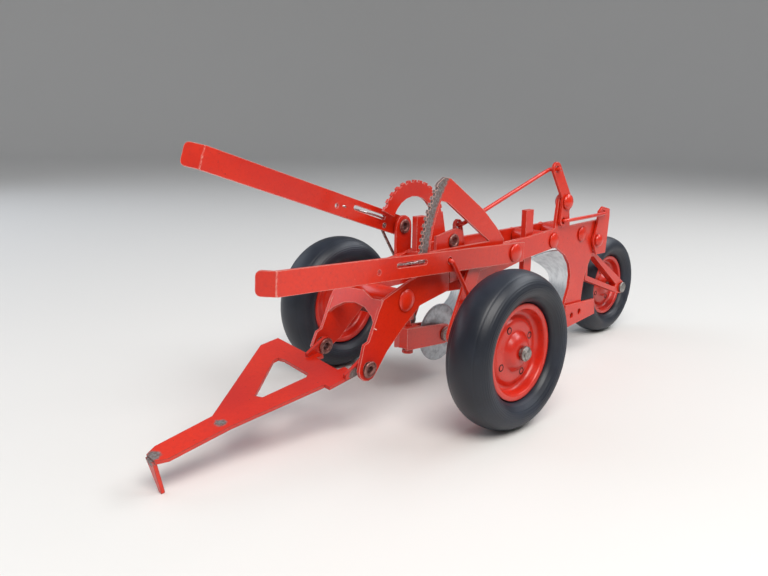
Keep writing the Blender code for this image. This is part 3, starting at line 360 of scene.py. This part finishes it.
def metal(name, colour, dark, roughness, grain=900.0, metallic=1.0):
    """Plain or plated metal with a mottled tarnish and brighter edges."""
    made, tree, shader = finish(name, colour, roughness, metallic)
    mottle = ramp(tree, noise(tree, grain, 6.0, 0.65), 0.35, 0.75)
    body = mix_colour(tree, mottle, colour, dark)
    edge = use_group(tree, EDGES, Radius=0.0004, Chips=1200.0, Spread=1.2)
    body = mix_colour(tree, edge, body, tuple(min(1.0, c * 1.5 + 0.1) for c in colour))
    tree.links.new(body, shader.inputs["Base Color"])
    rough = mix_value(tree, mottle, roughness, min(1.0, roughness + 0.22))
    tree.links.new(rough, shader.inputs["Roughness"])
    bump(tree, shader, noise(tree, grain * 0.5, 4.0, 0.6), 0.12, 0.0002)
    return made


def rubber(name):
    """Smooth moulded tyre rubber, greyer where it has been handled; its blue-black tint is a painted blue
    sheen.
    """
    # The blue in these rubber colours is a painted blue sheen, not the rubber's own colour.
    made, tree, shader = finish(name, (0.012, 0.015, 0.024), 0.48)
    haze = ramp(tree, noise(tree, 55.0, 5.0, 0.6), 0.40, 0.80)
    # Both haze colours carry the painted blue sheen; the lighter one marks the handled patches.
    colour = mix_colour(tree, haze, (0.007, 0.010, 0.018), (0.020, 0.027, 0.044))
    tree.links.new(colour, shader.inputs["Base Color"])
    tree.links.new(mix_value(tree, haze, 0.40, 0.60), shader.inputs["Roughness"])
    bump(tree, shader, noise(tree, 900.0, 3.0, 0.5), 0.15, 0.00015)
    return made


quadrant_low, quadrant_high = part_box("left_quadrant")
LEVER_PIVOT = tuple(sum(pair) / 2 for pair in zip(*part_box("left_lever_rivet")))
BAND_CENTRE = (LEVER_PIVOT[0], (quadrant_low[1] + quadrant_high[1]) / 2, LEVER_PIVOT[2])
hitch_low, hitch_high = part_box("drawbar")
RED = enamel("red enamel")
RED_SMOOTH = enamel("red enamel on round pieces", chips=0.45)
RED_QUADRANT = enamel("red enamel with a rubbed arc", 1.3, worn_band=(BAND_CENTRE, 0.0478))
RED_DRAWBAR = enamel("red enamel on the drawbar", 0.9, edge_tint=(0.16, 0.045, 0.040), rubs=(
    ((hitch_low[0] + 0.0526, hitch_low[1] + 0.0267, hitch_low[2] + 0.0160), 0.0030),
    ((hitch_high[0] - 0.0016, hitch_low[1] + 0.0250, hitch_low[2] + 0.0098), 0.0030),
    ((0.1385, 0.0052, 0.0102), 0.0036),
    ((hitch_low[0] + 0.0075, hitch_high[1] - 0.0010, hitch_low[2] + 0.0230), 0.0030)))
SILVER = metal("bright silver sheet", (0.74, 0.76, 0.78), (0.52, 0.54, 0.56), 0.30, 260.0, 0.85)
DISC = metal("blued disc steel", (0.46, 0.50, 0.53), (0.30, 0.33, 0.35), 0.38, 520.0, 0.8)
EYELET = metal("rolled eyelet, paint rubbed off its lip", (0.34, 0.17, 0.15), (0.13, 0.035, 0.030), 0.40,
               1100.0, 0.8)
STEEL = metal("dull rivet steel", (0.42, 0.40, 0.38), (0.16, 0.13, 0.12), 0.38)
WIRE = metal("bright spring wire", (0.72, 0.72, 0.70), (0.45, 0.44, 0.42), 0.25)
TYRE = rubber("tyre rubber")
# A near-black finish used as painted shade inside the punched holes.
HOLE_SHADE_PAINT = finish("painted shade in punched holes", (0.010, 0.006, 0.006), 0.9)[0]
print("finishes", len(bpy.data.materials))

# %% [markdown]
# Every new piece is a grid of points: rows round it or along it, columns across. One function joins
# the grid into faces, closes it where its rows or columns wrap, and merges the points that fall
# together at a pole, so that the skin has no hole.


# %% Grids of points
def surface(name, points, material, wrap_rows=False, wrap_columns=False):
    """Joins a (rows, columns, 3) grid in millimetres into one closed skin."""
    rows, columns = points.shape[:2]
    index = np.arange(rows * columns).reshape(rows, columns)
    if wrap_rows:
        index = np.vstack([index, index[:1]])
    if wrap_columns:
        index = np.hstack([index, index[:, :1]])
    quads = np.stack([index[:-1, :-1], index[1:, :-1], index[1:, 1:], index[:-1, 1:]], axis=2).reshape(-1, 4)
    mesh = bpy.data.meshes.new(name)
    mesh.from_pydata((points.reshape(-1, 3) * MM).tolist(), [], quads.tolist())
    work = bmesh.new()
    work.from_mesh(mesh)
    bmesh.ops.remove_doubles(work, verts=work.verts, dist=1e-7)
    bmesh.ops.recalc_face_normals(work, faces=work.faces)
    work.to_mesh(mesh)
    work.free()
    mesh.shade_smooth()
    mesh.materials.append(material)
    return link(name, mesh)


def rounded(points, times=2, closed=True):
    """Cuts every corner a quarter of the way along both its sides, `times` over; open ends stay."""
    line = np.asarray(points, float)
    for _ in range(times):
        after = np.roll(line, -1, axis=0)
        pair = np.stack([line * 0.75 + after * 0.25, line * 0.25 + after * 0.75], axis=1)
        if closed:
            line = pair.reshape(-1, line.shape[1])
        else:
            line = np.vstack([line[:1], pair[:-1].reshape(-1, line.shape[1]), line[-1:]])
    return line


def turned(name, profile, centre, material, axis=(0.0, 1.0, 0.0), sides=64, closed=True):
    """Carries a profile of (radius, distance along the axis) once round the axis through `centre`."""
    profile = np.asarray(profile, float)
    along = np.asarray(axis, float)
    along = along / np.linalg.norm(along)
    first = np.cross(along, (0.0, 0.0, 1.0))
    first = first / np.linalg.norm(first)
    second = np.cross(along, first)
    turn = np.linspace(0.0, 2 * np.pi, sides, endpoint=False)
    out = np.cos(turn)[:, None] * first + np.sin(turn)[:, None] * second
    points = (np.asarray(centre) + out[:, None, :] * profile[None, :, :1]
              + along * profile[None, :, 1:2])
    return surface(name, points, material, wrap_rows=True, wrap_columns=closed)


def swept(name, path, radius, flat_normal, material, sides=20):
    """Carries a circle along a path that lies in one plane; the plane's normal is `flat_normal`."""
    path = np.asarray(path, float)
    ahead_of = np.gradient(path, axis=0)
    ahead_of = ahead_of / np.linalg.norm(ahead_of, axis=1)[:, None]
    side = np.asarray(flat_normal, float) / np.linalg.norm(flat_normal)
    over = np.cross(ahead_of, side)
    tips = np.array([-0.30, -0.12, 0.0]) * radius
    swell = np.concatenate([[0.0, 0.75, 1.0], np.ones(len(path) - 2), [1.0, 0.75, 0.0]]) * radius
    start = path[:1] + ahead_of[:1] * tips[:2, None]
    end = path[-1:] - ahead_of[-1:] * tips[1::-1, None]
    path = np.vstack([start, path, end])
    over = np.vstack([over[:1], over[:1], over, over[-1:], over[-1:]])
    turn = np.linspace(0.0, 2 * np.pi, sides, endpoint=False)
    ring = np.cos(turn)[None, :, None] * side + np.sin(turn)[None, :, None] * over[:, None, :]
    points = path[:, None, :] + ring * swell[:, None, None]
    return surface(name, points, material, wrap_columns=True)


def dress(piece, *replaced):
    """The piece rides on its node's body and stands for the node, which is hidden."""
    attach(piece, body_of[replaced[0]])
    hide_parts(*replaced)
    return piece


def middle(node):
    """The middle of a node's box, in millimetres."""
    low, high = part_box(node)
    return (np.asarray(low) + np.asarray(high)) / 2 / MM


# %% [markdown]
# The flat pieces were stamped from sheet, so their shapes are right already and only their edges are
# too sharp: a stamped edge is a little rounded and catches a thin line of light. A copy of each is
# merged, its flat triangles are joined, and a small bevel is put on every real edge.


# %% Stamped sheet pieces
EDGE_ROLL = 0.16
EDGE_ANGLE = math.radians(32)


def stamped(node, material):
    """A merged copy of the node's solid, with the edges steeper than EDGE_ANGLE rolled over."""
    mesh = nodes[node].data.copy()
    work = bmesh.new()
    work.from_mesh(mesh)
    bmesh.ops.remove_doubles(work, verts=work.verts, dist=2e-6)
    bmesh.ops.dissolve_limit(work, angle_limit=math.radians(2.0), verts=work.verts, edges=work.edges)
    work.to_mesh(mesh)
    work.free()
    mesh.shade_smooth()
    mesh.materials.clear()
    mesh.materials.append(material)
    piece = link(node + "_pressed", mesh)
    bevel = piece.modifiers.new("rolled edge", "BEVEL")
    bevel.width = EDGE_ROLL * MM
    bevel.segments = 2
    bevel.limit_method = "ANGLE"
    bevel.angle_limit = EDGE_ANGLE
    flat = piece.modifiers.new("flat faces stay flat", "WEIGHTED_NORMAL")
    flat.weight = 100
    flat.keep_sharp = True
    return dress(piece, node)


SHEET_PIECES = {
    RED: ["front_yoke", "left_beam", "right_beam", "rear_landside", "front_landside", "right_quadrant",
          "right_lever_bracket", "beam_bracket", "land_crank_arm", "furrow_crank_arm", "lift_arm",
          "rear_rocker", "tail_bracket", "tail_fork", "left_lever", "right_lever", "front_coulter_clamp",
          "rear_coulter_clamp", "front_coulter_fork", "rear_coulter_fork", "front_coulter_post",
          "rear_coulter_post"],
    RED_QUADRANT: ["left_quadrant"],
    RED_DRAWBAR: ["drawbar"],
}
for material, held in SHEET_PIECES.items():
    for node in held:
        stamped(node, material)
print("stamped pieces", sum(len(held) for held in SHEET_PIECES.values()))

# %% [markdown]
# A wheel is a hollow-sided rim pressed from two discs, with a solid rubber tyre sprung over it. The
# tyre's cut is an ellipse with a neck that sits between the rim's flanges. Fine moulding rings run
# round its sides, and are part of its shape: a small ripple added to the ellipse's radius.

# %% Tyres
WHEELS = {"land": 1.0, "furrow": 1.0, "tail": 24.3 / 28.0}


def tyre_profile():
    """An ellipse 5.6 by 8.5 at radius 22.4, rippled on its sides, and a straight-sided neck below it."""
    turn = np.radians(np.linspace(-120.0, 120.0, 121))
    side = np.clip((np.abs(turn) - 0.75) / 0.5, 0.0, 1.0)
    ripple = 0.05 * side * np.cos(turn * 46.0)
    shoulder = -0.10 * np.exp(-((np.abs(turn) - 0.62) / 0.03) ** 2)
    grow = 1.0 + (ripple + shoulder) / 7.0
    crown = np.stack([22.4 + 5.58 * np.cos(turn) * grow, 8.5 * np.sin(turn) * grow], axis=1)
    low = rounded([(18.4, 6.6), (17.7, 5.6), (17.4, 4.2), (17.3, 3.7), (15.4, 3.65)], 2, closed=False)
    return np.vstack([low[::-1] * (1, -1), crown, low])


for wheel, scale in WHEELS.items():
    node = wheel + "_tyre"
    dress(turned(node + "_moulded", tyre_profile() * scale, middle(node), TYRE, sides=144), node)
print("tyre points across", len(tyre_profile()))

# %% [markdown]
# Each rim face is a flange, a deep channel and a raised hub like a shallow bell. The profile's
# corners are cut round, as a press leaves them. Four small holes are punched in the flat ring round
# the hub: each is a little lipped cup, set into the face and painted near black all over, as painted
# shade for the dark inside of the hole.


# %% Rims
AXLE_BORE = 1.85
HOLE_RING = 9.0
HOLE_FACE = 2.66
FIRST_HOLE = 62.0


def rim_profile(bore):
    """Half of the cut from the bore out over hub, ring, channel and flange, then its mirror image."""
    face = [(bore, 5.3), (2.6, 5.42), (3.9, 5.3), (5.2, 4.7), (6.2, 3.7), (6.9, 2.9), (7.6, 2.65), (9.9, 2.6),
            (11.0, 2.3), (11.8, 1.5), (12.6, 1.05), (13.6, 1.15), (14.4, 2.0), (14.8, 4.2), (15.2, 4.95),
            (16.9, 4.95), (17.05, 4.5), (16.8, 4.15), (15.5, 4.1), (15.1, 3.6)]
    smooth = rounded(face, 3, closed=False)
    return np.vstack([smooth, smooth[::-1] * (1, -1)])


def punched_hole(name, centre, outward, radius, body):
    """A cup: a rolled lip, a short wall and a floor, turned about the hole's own axis."""
    lip = [(0.0, -0.25), (radius * 0.85, -0.25), (radius * 0.92, 0.06), (radius * 1.15, 0.10),
           (radius * 1.3, -0.02), (radius * 1.2, -0.5), (0.0, -0.5)]
    # The whole cup is near black: painted shade standing for the dark inside of the hole.
    hole = turned(name, lip, centre, HOLE_SHADE_PAINT, axis=outward, sides=20, closed=False)
    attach(hole, body)
    return hole


for wheel, scale in WHEELS.items():
    node = wheel + "_rim"
    centre = middle(node)
    profile = rim_profile(AXLE_BORE / scale) * scale
    dress(turned(node + "_pressed", profile, centre, RED_SMOOTH, sides=128), node)
    for face in (1.0, -1.0):
        for step in range(4):
            turn = math.radians(FIRST_HOLE + 90.0 * step)
            out = np.array([math.cos(turn), 0.0, math.sin(turn)])
            at = centre + out * HOLE_RING * scale + np.array([0.0, face * HOLE_FACE * scale, 0.0])
            name = "%s_hole_%s%d" % (wheel, "left" if face > 0 else "right", step)
            punched_hole(name, at, (0.0, face, 0.0), 1.0 * scale, body_of[node])
print("rims", len(WHEELS))

# %% [markdown]
# Axles, the frame's tube spacers and the solid rivets are turned pieces, to within 0.7 mm of the
# plain solids. A step's two corners lose a quarter of a millimetre, as turning leaves them. The
# cranks' shafts keep their plain solids with rolled edges.


# %% Turned pieces
STEP_BEVEL = 0.25
RIVET_SHANK = 1.9


def round_node(node, steps):
    """A stepped shaft from (radius, start, end) lengths along Y, measured in its box from the left end."""
    low, high = (np.asarray(c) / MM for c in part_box(node))
    centre = (low + high) / 2
    profile = [(0.0, steps[0][1])]
    for radius, start, end in steps:
        bevel = min(STEP_BEVEL, (end - start) * 0.3)
        profile += [(radius - bevel, start), (radius, start + bevel)]
        profile += [(radius, end - bevel), (radius - bevel, end)]
    profile += [(0.0, steps[-1][2])]
    base = np.array([centre[0], low[1], centre[2]])
    return dress(turned(node + "_turned", profile, base, STEEL, sides=48, closed=False), node)


AXLE_STEPS = {
    "land_axle": [(2.7, 0.0, 1.3), (1.5, 1.3, 16.8), (2.8, 16.8, 21.3), (1.5, 21.3, 33.2), (2.6, 33.2, 34.6),
                  (1.9, 34.6, 35.2)],
    "furrow_axle": [(1.9, 0.0, 0.6), (2.6, 0.6, 2.0), (1.5, 2.0, 13.9), (2.8, 13.9, 18.4), (1.5, 18.4, 49.7),
                    (2.7, 49.7, 50.7)],
    "tail_axle": [(2.5, 0.0, 0.8), (1.4, 0.8, 11.4), (2.6, 11.4, 14.1), (1.5, 14.1, 18.6), (2.6, 18.6, 19.6)],
}
for node, steps in AXLE_STEPS.items():
    round_node(node, steps)
print("axles", len(AXLE_STEPS))
TUBE_RADIUS = 3.4
CROSS_TUBES = {"front_cross_tube": (3.9, 1.8), "mid_cross_tube": (3.4, 2.0), "rear_cross_tube": (3.4, 2.0)}
for node, (head, beam_room) in CROSS_TUBES.items():
    grip = (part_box(node)[1][1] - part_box(node)[0][1]) / 2 / MM - 1.5
    body = grip - beam_room
    dome = [(0.0, grip + 1.5), (head * 0.35, grip + 1.42), (head * 0.7, grip + 1.1)]
    dome += [(head * 0.93, grip + 0.65), (head, grip + 0.32)]
    tube = [(RIVET_SHANK, grip + 0.3), (RIVET_SHANK, body - 0.3), (TUBE_RADIUS - 0.2, body - 0.3),
            (TUBE_RADIUS, body - 0.6)]
    profile = dome + tube
    profile += [(r, -y) for r, y in reversed(profile)]
    dress(turned(node + "_turned", profile, middle(node), RED_SMOOTH, sides=48, closed=False), node)
for node, reach in (("rocker_rivet", 3.4), ("tail_rivet", 2.9), ("left_lever_rivet", 3.6)):
    half = (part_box(node)[1][1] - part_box(node)[0][1]) / 2 / MM
    dome = 1.3 if node == "left_lever_rivet" else 1.8
    arcs = np.radians(np.linspace(90.0, 0.0, 9))
    cap = np.stack([reach * np.cos(arcs), half - dome + dome * np.sin(arcs)], axis=1)
    shank = [(RIVET_SHANK, half - dome), (RIVET_SHANK, dome - half)]
    profile = np.vstack([cap, shank, cap[::-1] * (1, -1)])
    dress(turned(node + "_turned", profile, middle(node), RED_SMOOTH, sides=40, closed=False), node)
for node in ("land_crank_shaft", "furrow_crank_shaft"):
    stamped(node, STEEL)

# %% [markdown]
# The hollow rivets are eyelets: a tube with a lip rolled over at both ends. The lip is half a ring,
# so its profile is an arc, and the bore stays open and dark.


# %% Eyelets
BORE = 1.3
EAR_GRIP = 4.45
ACROSS = (0.0, 1.0, 0.0)


def eyelet(node, reach, axis=ACROSS):
    """The lip is a half ring from radius `reach` in to the bore; the whole is mirrored about its middle."""
    low, high = (np.asarray(c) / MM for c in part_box(node))
    half = (high[1] - low[1]) / 2 if axis == ACROSS else EAR_GRIP / 2 + 0.6
    turn = np.radians(np.linspace(0.0, 180.0, 11))
    mid = (reach + BORE) / 2
    wide = (reach - BORE) / 2
    lip = np.stack([mid + wide * np.cos(turn), half - 0.65 + 0.62 * np.sin(turn)], axis=1)
    profile = np.vstack([[(RIVET_SHANK, half - 0.66)], lip, [(BORE, 0.3)]])
    profile = np.vstack([profile, profile[::-1] * (1, -1)])
    return dress(turned(node + "_rolled", profile, (low + high) / 2, EYELET, axis=axis, sides=40), node)


for node, reach in (("front_coulter_rivet", 2.85), ("rear_coulter_rivet", 2.85), ("right_lever_rivet", 2.75),
                    ("beam_bracket_rivet", 2.75)):
    eyelet(node, reach)
ear_line = middle("left_ear_rivet") - middle("right_ear_rivet")
for node in ("left_ear_rivet", "right_ear_rivet"):
    eyelet(node, 2.95, tuple(ear_line))
print("ear line", ear_line.round(2))

# %% [markdown]
# Rods and links are bent from round bar. Their paths lie flat in one plane, the plane of the rod's
# long run and of its two end pegs, so a circle can be carried along without twisting.


# %% Rods and wires
def bent_rod(node, radius, peg_start, peg_end, run_y, material, start, end, turn_in=0.6):
    """A rod from `start` to `end`, (x, z) pairs, with pegs that turn along Y at both ends."""
    first = np.array([start[0], run_y, start[1]])
    last = np.array([end[0], run_y, end[1]])
    line = last - first
    peg_a = first + np.array([0.0, peg_start, 0.0])
    peg_b = last + np.array([0.0, peg_end, 0.0])
    lean_a = math.copysign(turn_in, peg_start)
    lean_b = math.copysign(turn_in, peg_end)
    path = [peg_a, first + np.array([0.0, lean_a, 0.0]), first + line * 0.05, first + line * 0.5,
            first + line * 0.95, last + np.array([0.0, lean_b, 0.0]), peg_b]
    normal = np.cross(line, (0.0, 1.0, 0.0))
    piece = swept(node + "_bent", rounded(path, 3, closed=False), radius, normal, material)
    return dress(piece, node)


def ends_of(node, radius, falling):
    """The (x, z) centres of a rod's two end pegs, from its box and the way it slopes."""
    low, high = (np.asarray(c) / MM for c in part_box(node))
    left, right_end = low[0] + radius, high[0] - radius
    bottom, top = low[2] + radius, high[2] - radius
    return ((right_end, bottom), (left, top)) if falling else ((right_end, top), (left, bottom))


THICK_ROD = 0.8
THIN_WIRE = 0.55
TAIL_ROD = 0.75
HOOK_ROOM = 3.25
hook, top = ends_of("lift_rod", THICK_ROD, True)
low, high = (np.asarray(c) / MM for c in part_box("lift_rod"))
run = low[1] + HOOK_ROOM
bent_rod("lift_rod", THICK_ROD, low[1] - run, high[1] - run, run, RED_SMOOTH, hook, top)
low, high = (np.asarray(c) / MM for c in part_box("land_link"))
hook, pin = ends_of("land_link", THICK_ROD, False)
run = high[1] - THICK_ROD
bent_rod("land_link", THICK_ROD, -2.6, low[1] - run, run, RED_SMOOTH, hook, pin)
low, high = (np.asarray(c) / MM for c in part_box("furrow_link"))
hook, pin = ends_of("furrow_link", THIN_WIRE, False)
run = low[1] + THIN_WIRE
bent_rod("furrow_link", THIN_WIRE, 2.9, high[1] - run, run, STEEL, hook, pin)
hook, pin = ends_of("tail_rod", TAIL_ROD, True)
low, high = (np.asarray(c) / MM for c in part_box("tail_rod"))
run = high[1] - TAIL_ROD
bent_rod("tail_rod", TAIL_ROD, low[1] + 0.6 - run, low[1] - run, run, RED_SMOOTH, hook, pin, 0.5)
print("rods and links 4")


def latch(node, pivot_node, slope, slot_start, slot_end, outer_y):
    """Spring wire seen in a lever's slot: it arches out of the slot and shows again as a small hump."""
    pivot = middle(pivot_node)
    tilt = math.radians(slope)
    share = np.linspace(0.0, 1.0, 41)
    along = slot_start - 1.6 + share * (slot_end - slot_start + 9.6)
    hump = 1.25 * np.exp(-((along - slot_end - 5.4) / 1.9) ** 2)
    slot_middle = (slot_start + slot_end) / 2 - 1.5
    slot_reach = 0.36 * (slot_end - slot_start)
    arch = 1.15 * np.exp(-((along - slot_middle) / slot_reach) ** 4)
    lift = np.where(along < slot_end + 1.0, arch, hump)
    high_line = 0.75 - 0.9 * share ** 2
    x = pivot[0] + along * math.cos(tilt) - high_line * math.sin(tilt)
    z = pivot[2] + along * math.sin(tilt) + high_line * math.cos(tilt)
    path = np.stack([x, outer_y - 1.45 + lift, z], axis=1)
    normal = (-math.sin(tilt), 0.0, math.cos(tilt))
    return dress(swept(node + "_sprung", path, 0.42, normal, WIRE, sides=14), node)


latch("left_latch_wire", "left_lever_rivet", 2.0, 52.5, 66.0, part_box("land_link")[0][1] / MM + 1.98)
latch("right_latch_wire", "right_lever_rivet", 17.8, 9.5, 25.0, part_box("furrow_link")[0][1] / MM + 3.2)

# %% [markdown]
# The mouldboards are the bright twisted sheets that turn the soil. Each is a surface of two shares:
# one runs back along the wing, one runs up. The shin curls forward at its top and foot, and the
# wing sweeps back and to the right while it narrows.


# %% Mouldboards and shares
PLOUGH_SHEET = 0.9
EDGE_ROOM = 0.3


def thick_sheet(name, points, thickness, material):
    """Gives a grid a front and a back half a thickness either side, and joins them round the rim."""
    du = np.gradient(points, axis=0)
    dv = np.gradient(points, axis=1)
    normal = np.cross(du, dv)
    normal = normal / np.linalg.norm(normal, axis=2)[:, :, None]
    front = points + normal * thickness / 2
    back = points - normal * thickness / 2
    loop = np.concatenate([front, back[:, ::-1]], axis=1)
    first = points[:1]
    last = points[-1:]
    close_first = np.concatenate([first, first[:, ::-1]], axis=1)
    close_last = np.concatenate([last, last[:, ::-1]], axis=1)
    loop = np.concatenate([close_first, loop, close_last], axis=0)
    return surface(name, loop, material, wrap_columns=True)


def wing(corner_x, corner_y):
    """The mouldboard: u runs back along it, v up. It is 33 high at its curved shin, 20 at its tail."""
    u = np.linspace(0.0, 1.0, 45)[:, None]
    v = np.linspace(0.0, 1.0, 45)[None, :]
    shin = -92.6 + 11.5 * (2 * v - 1.05) ** 2 + 0.6 * v
    x = shin - 21.0 * u + 5.0 * u * v + corner_x
    y = corner_y - 1.6 - 22.0 * u - 4.0 * u * v * v
    z = 16.6 + 4.0 * u + (33.0 - 9.0 * u - 4.0 * u * u) * v
    return np.stack([x, y, z + 0.0 * x], axis=2)


def blade(corner_x, corner_y):
    """The share, a strip below the wing: u runs back from its point, where it is 3.7 high, to 5.1."""
    u = np.linspace(0.0, 1.0, 31)[:, None]
    v = np.linspace(0.0, 1.0, 7)[None, :]
    x = -79.0 - 25.0 * u - 3.6 * v + corner_x
    y = corner_y - 1.6 - 22.5 * u + 0.0 * v
    z = 11.6 + 1.6 * u + (3.7 + 1.4 * u) * v
    return np.stack([x, y, z], axis=2)


for end in ("rear", "front"):
    high = np.asarray(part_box(end + "_mouldboard")[1]) / MM
    wing_grid = wing(0.0, 0.0)
    shift_x = high[0] - wing_grid[:, :, 0].max() - EDGE_ROOM
    shift_y = high[1] - wing_grid[:, :, 1].max() - EDGE_ROOM
    board = thick_sheet(end + "_mouldboard_pressed", wing(shift_x, shift_y), PLOUGH_SHEET, SILVER)
    dress(board, end + "_mouldboard")
    share = thick_sheet(end + "_share_pressed", blade(shift_x, shift_y), PLOUGH_SHEET, SILVER)
    dress(share, end + "_share")
    print(end, "mouldboard moved by", round(shift_x, 2), round(shift_y, 2))

# %% [markdown]
# The rolling coulters' discs are thin steel saucers with a raised boss. Their edge is thinned by a
# short bevel on each side.

# %% Coulter discs
for end in ("front", "rear"):
    node = end + "_coulter_disc"
    half = [(2.35, 0.75), (3.5, 0.78), (4.2, 0.62), (4.9, 0.46), (7.5, 0.44), (10.3, 0.42), (11.1, 0.22),
            (11.5, 0.06)]
    profile = np.vstack([half, np.array(half)[::-1] * (1, -1)])
    dress(turned(node + "_ground", profile, middle(node), DISC, sides=120), node)

# %% [markdown]
# The floor takes a plain pale finish, and each of the frame's own pieces takes the red enamel or the
# dull rivet steel, by its material slot.

# %% Finish
floor.data.materials.append(finish("pale floor", (0.78, 0.76, 0.73), 0.55)[0])
for node, shape in nodes.items():
    shape.data.materials.clear()
    shape.data.materials.append(RED if slot_of[node] == "red_enamel" else STEEL)
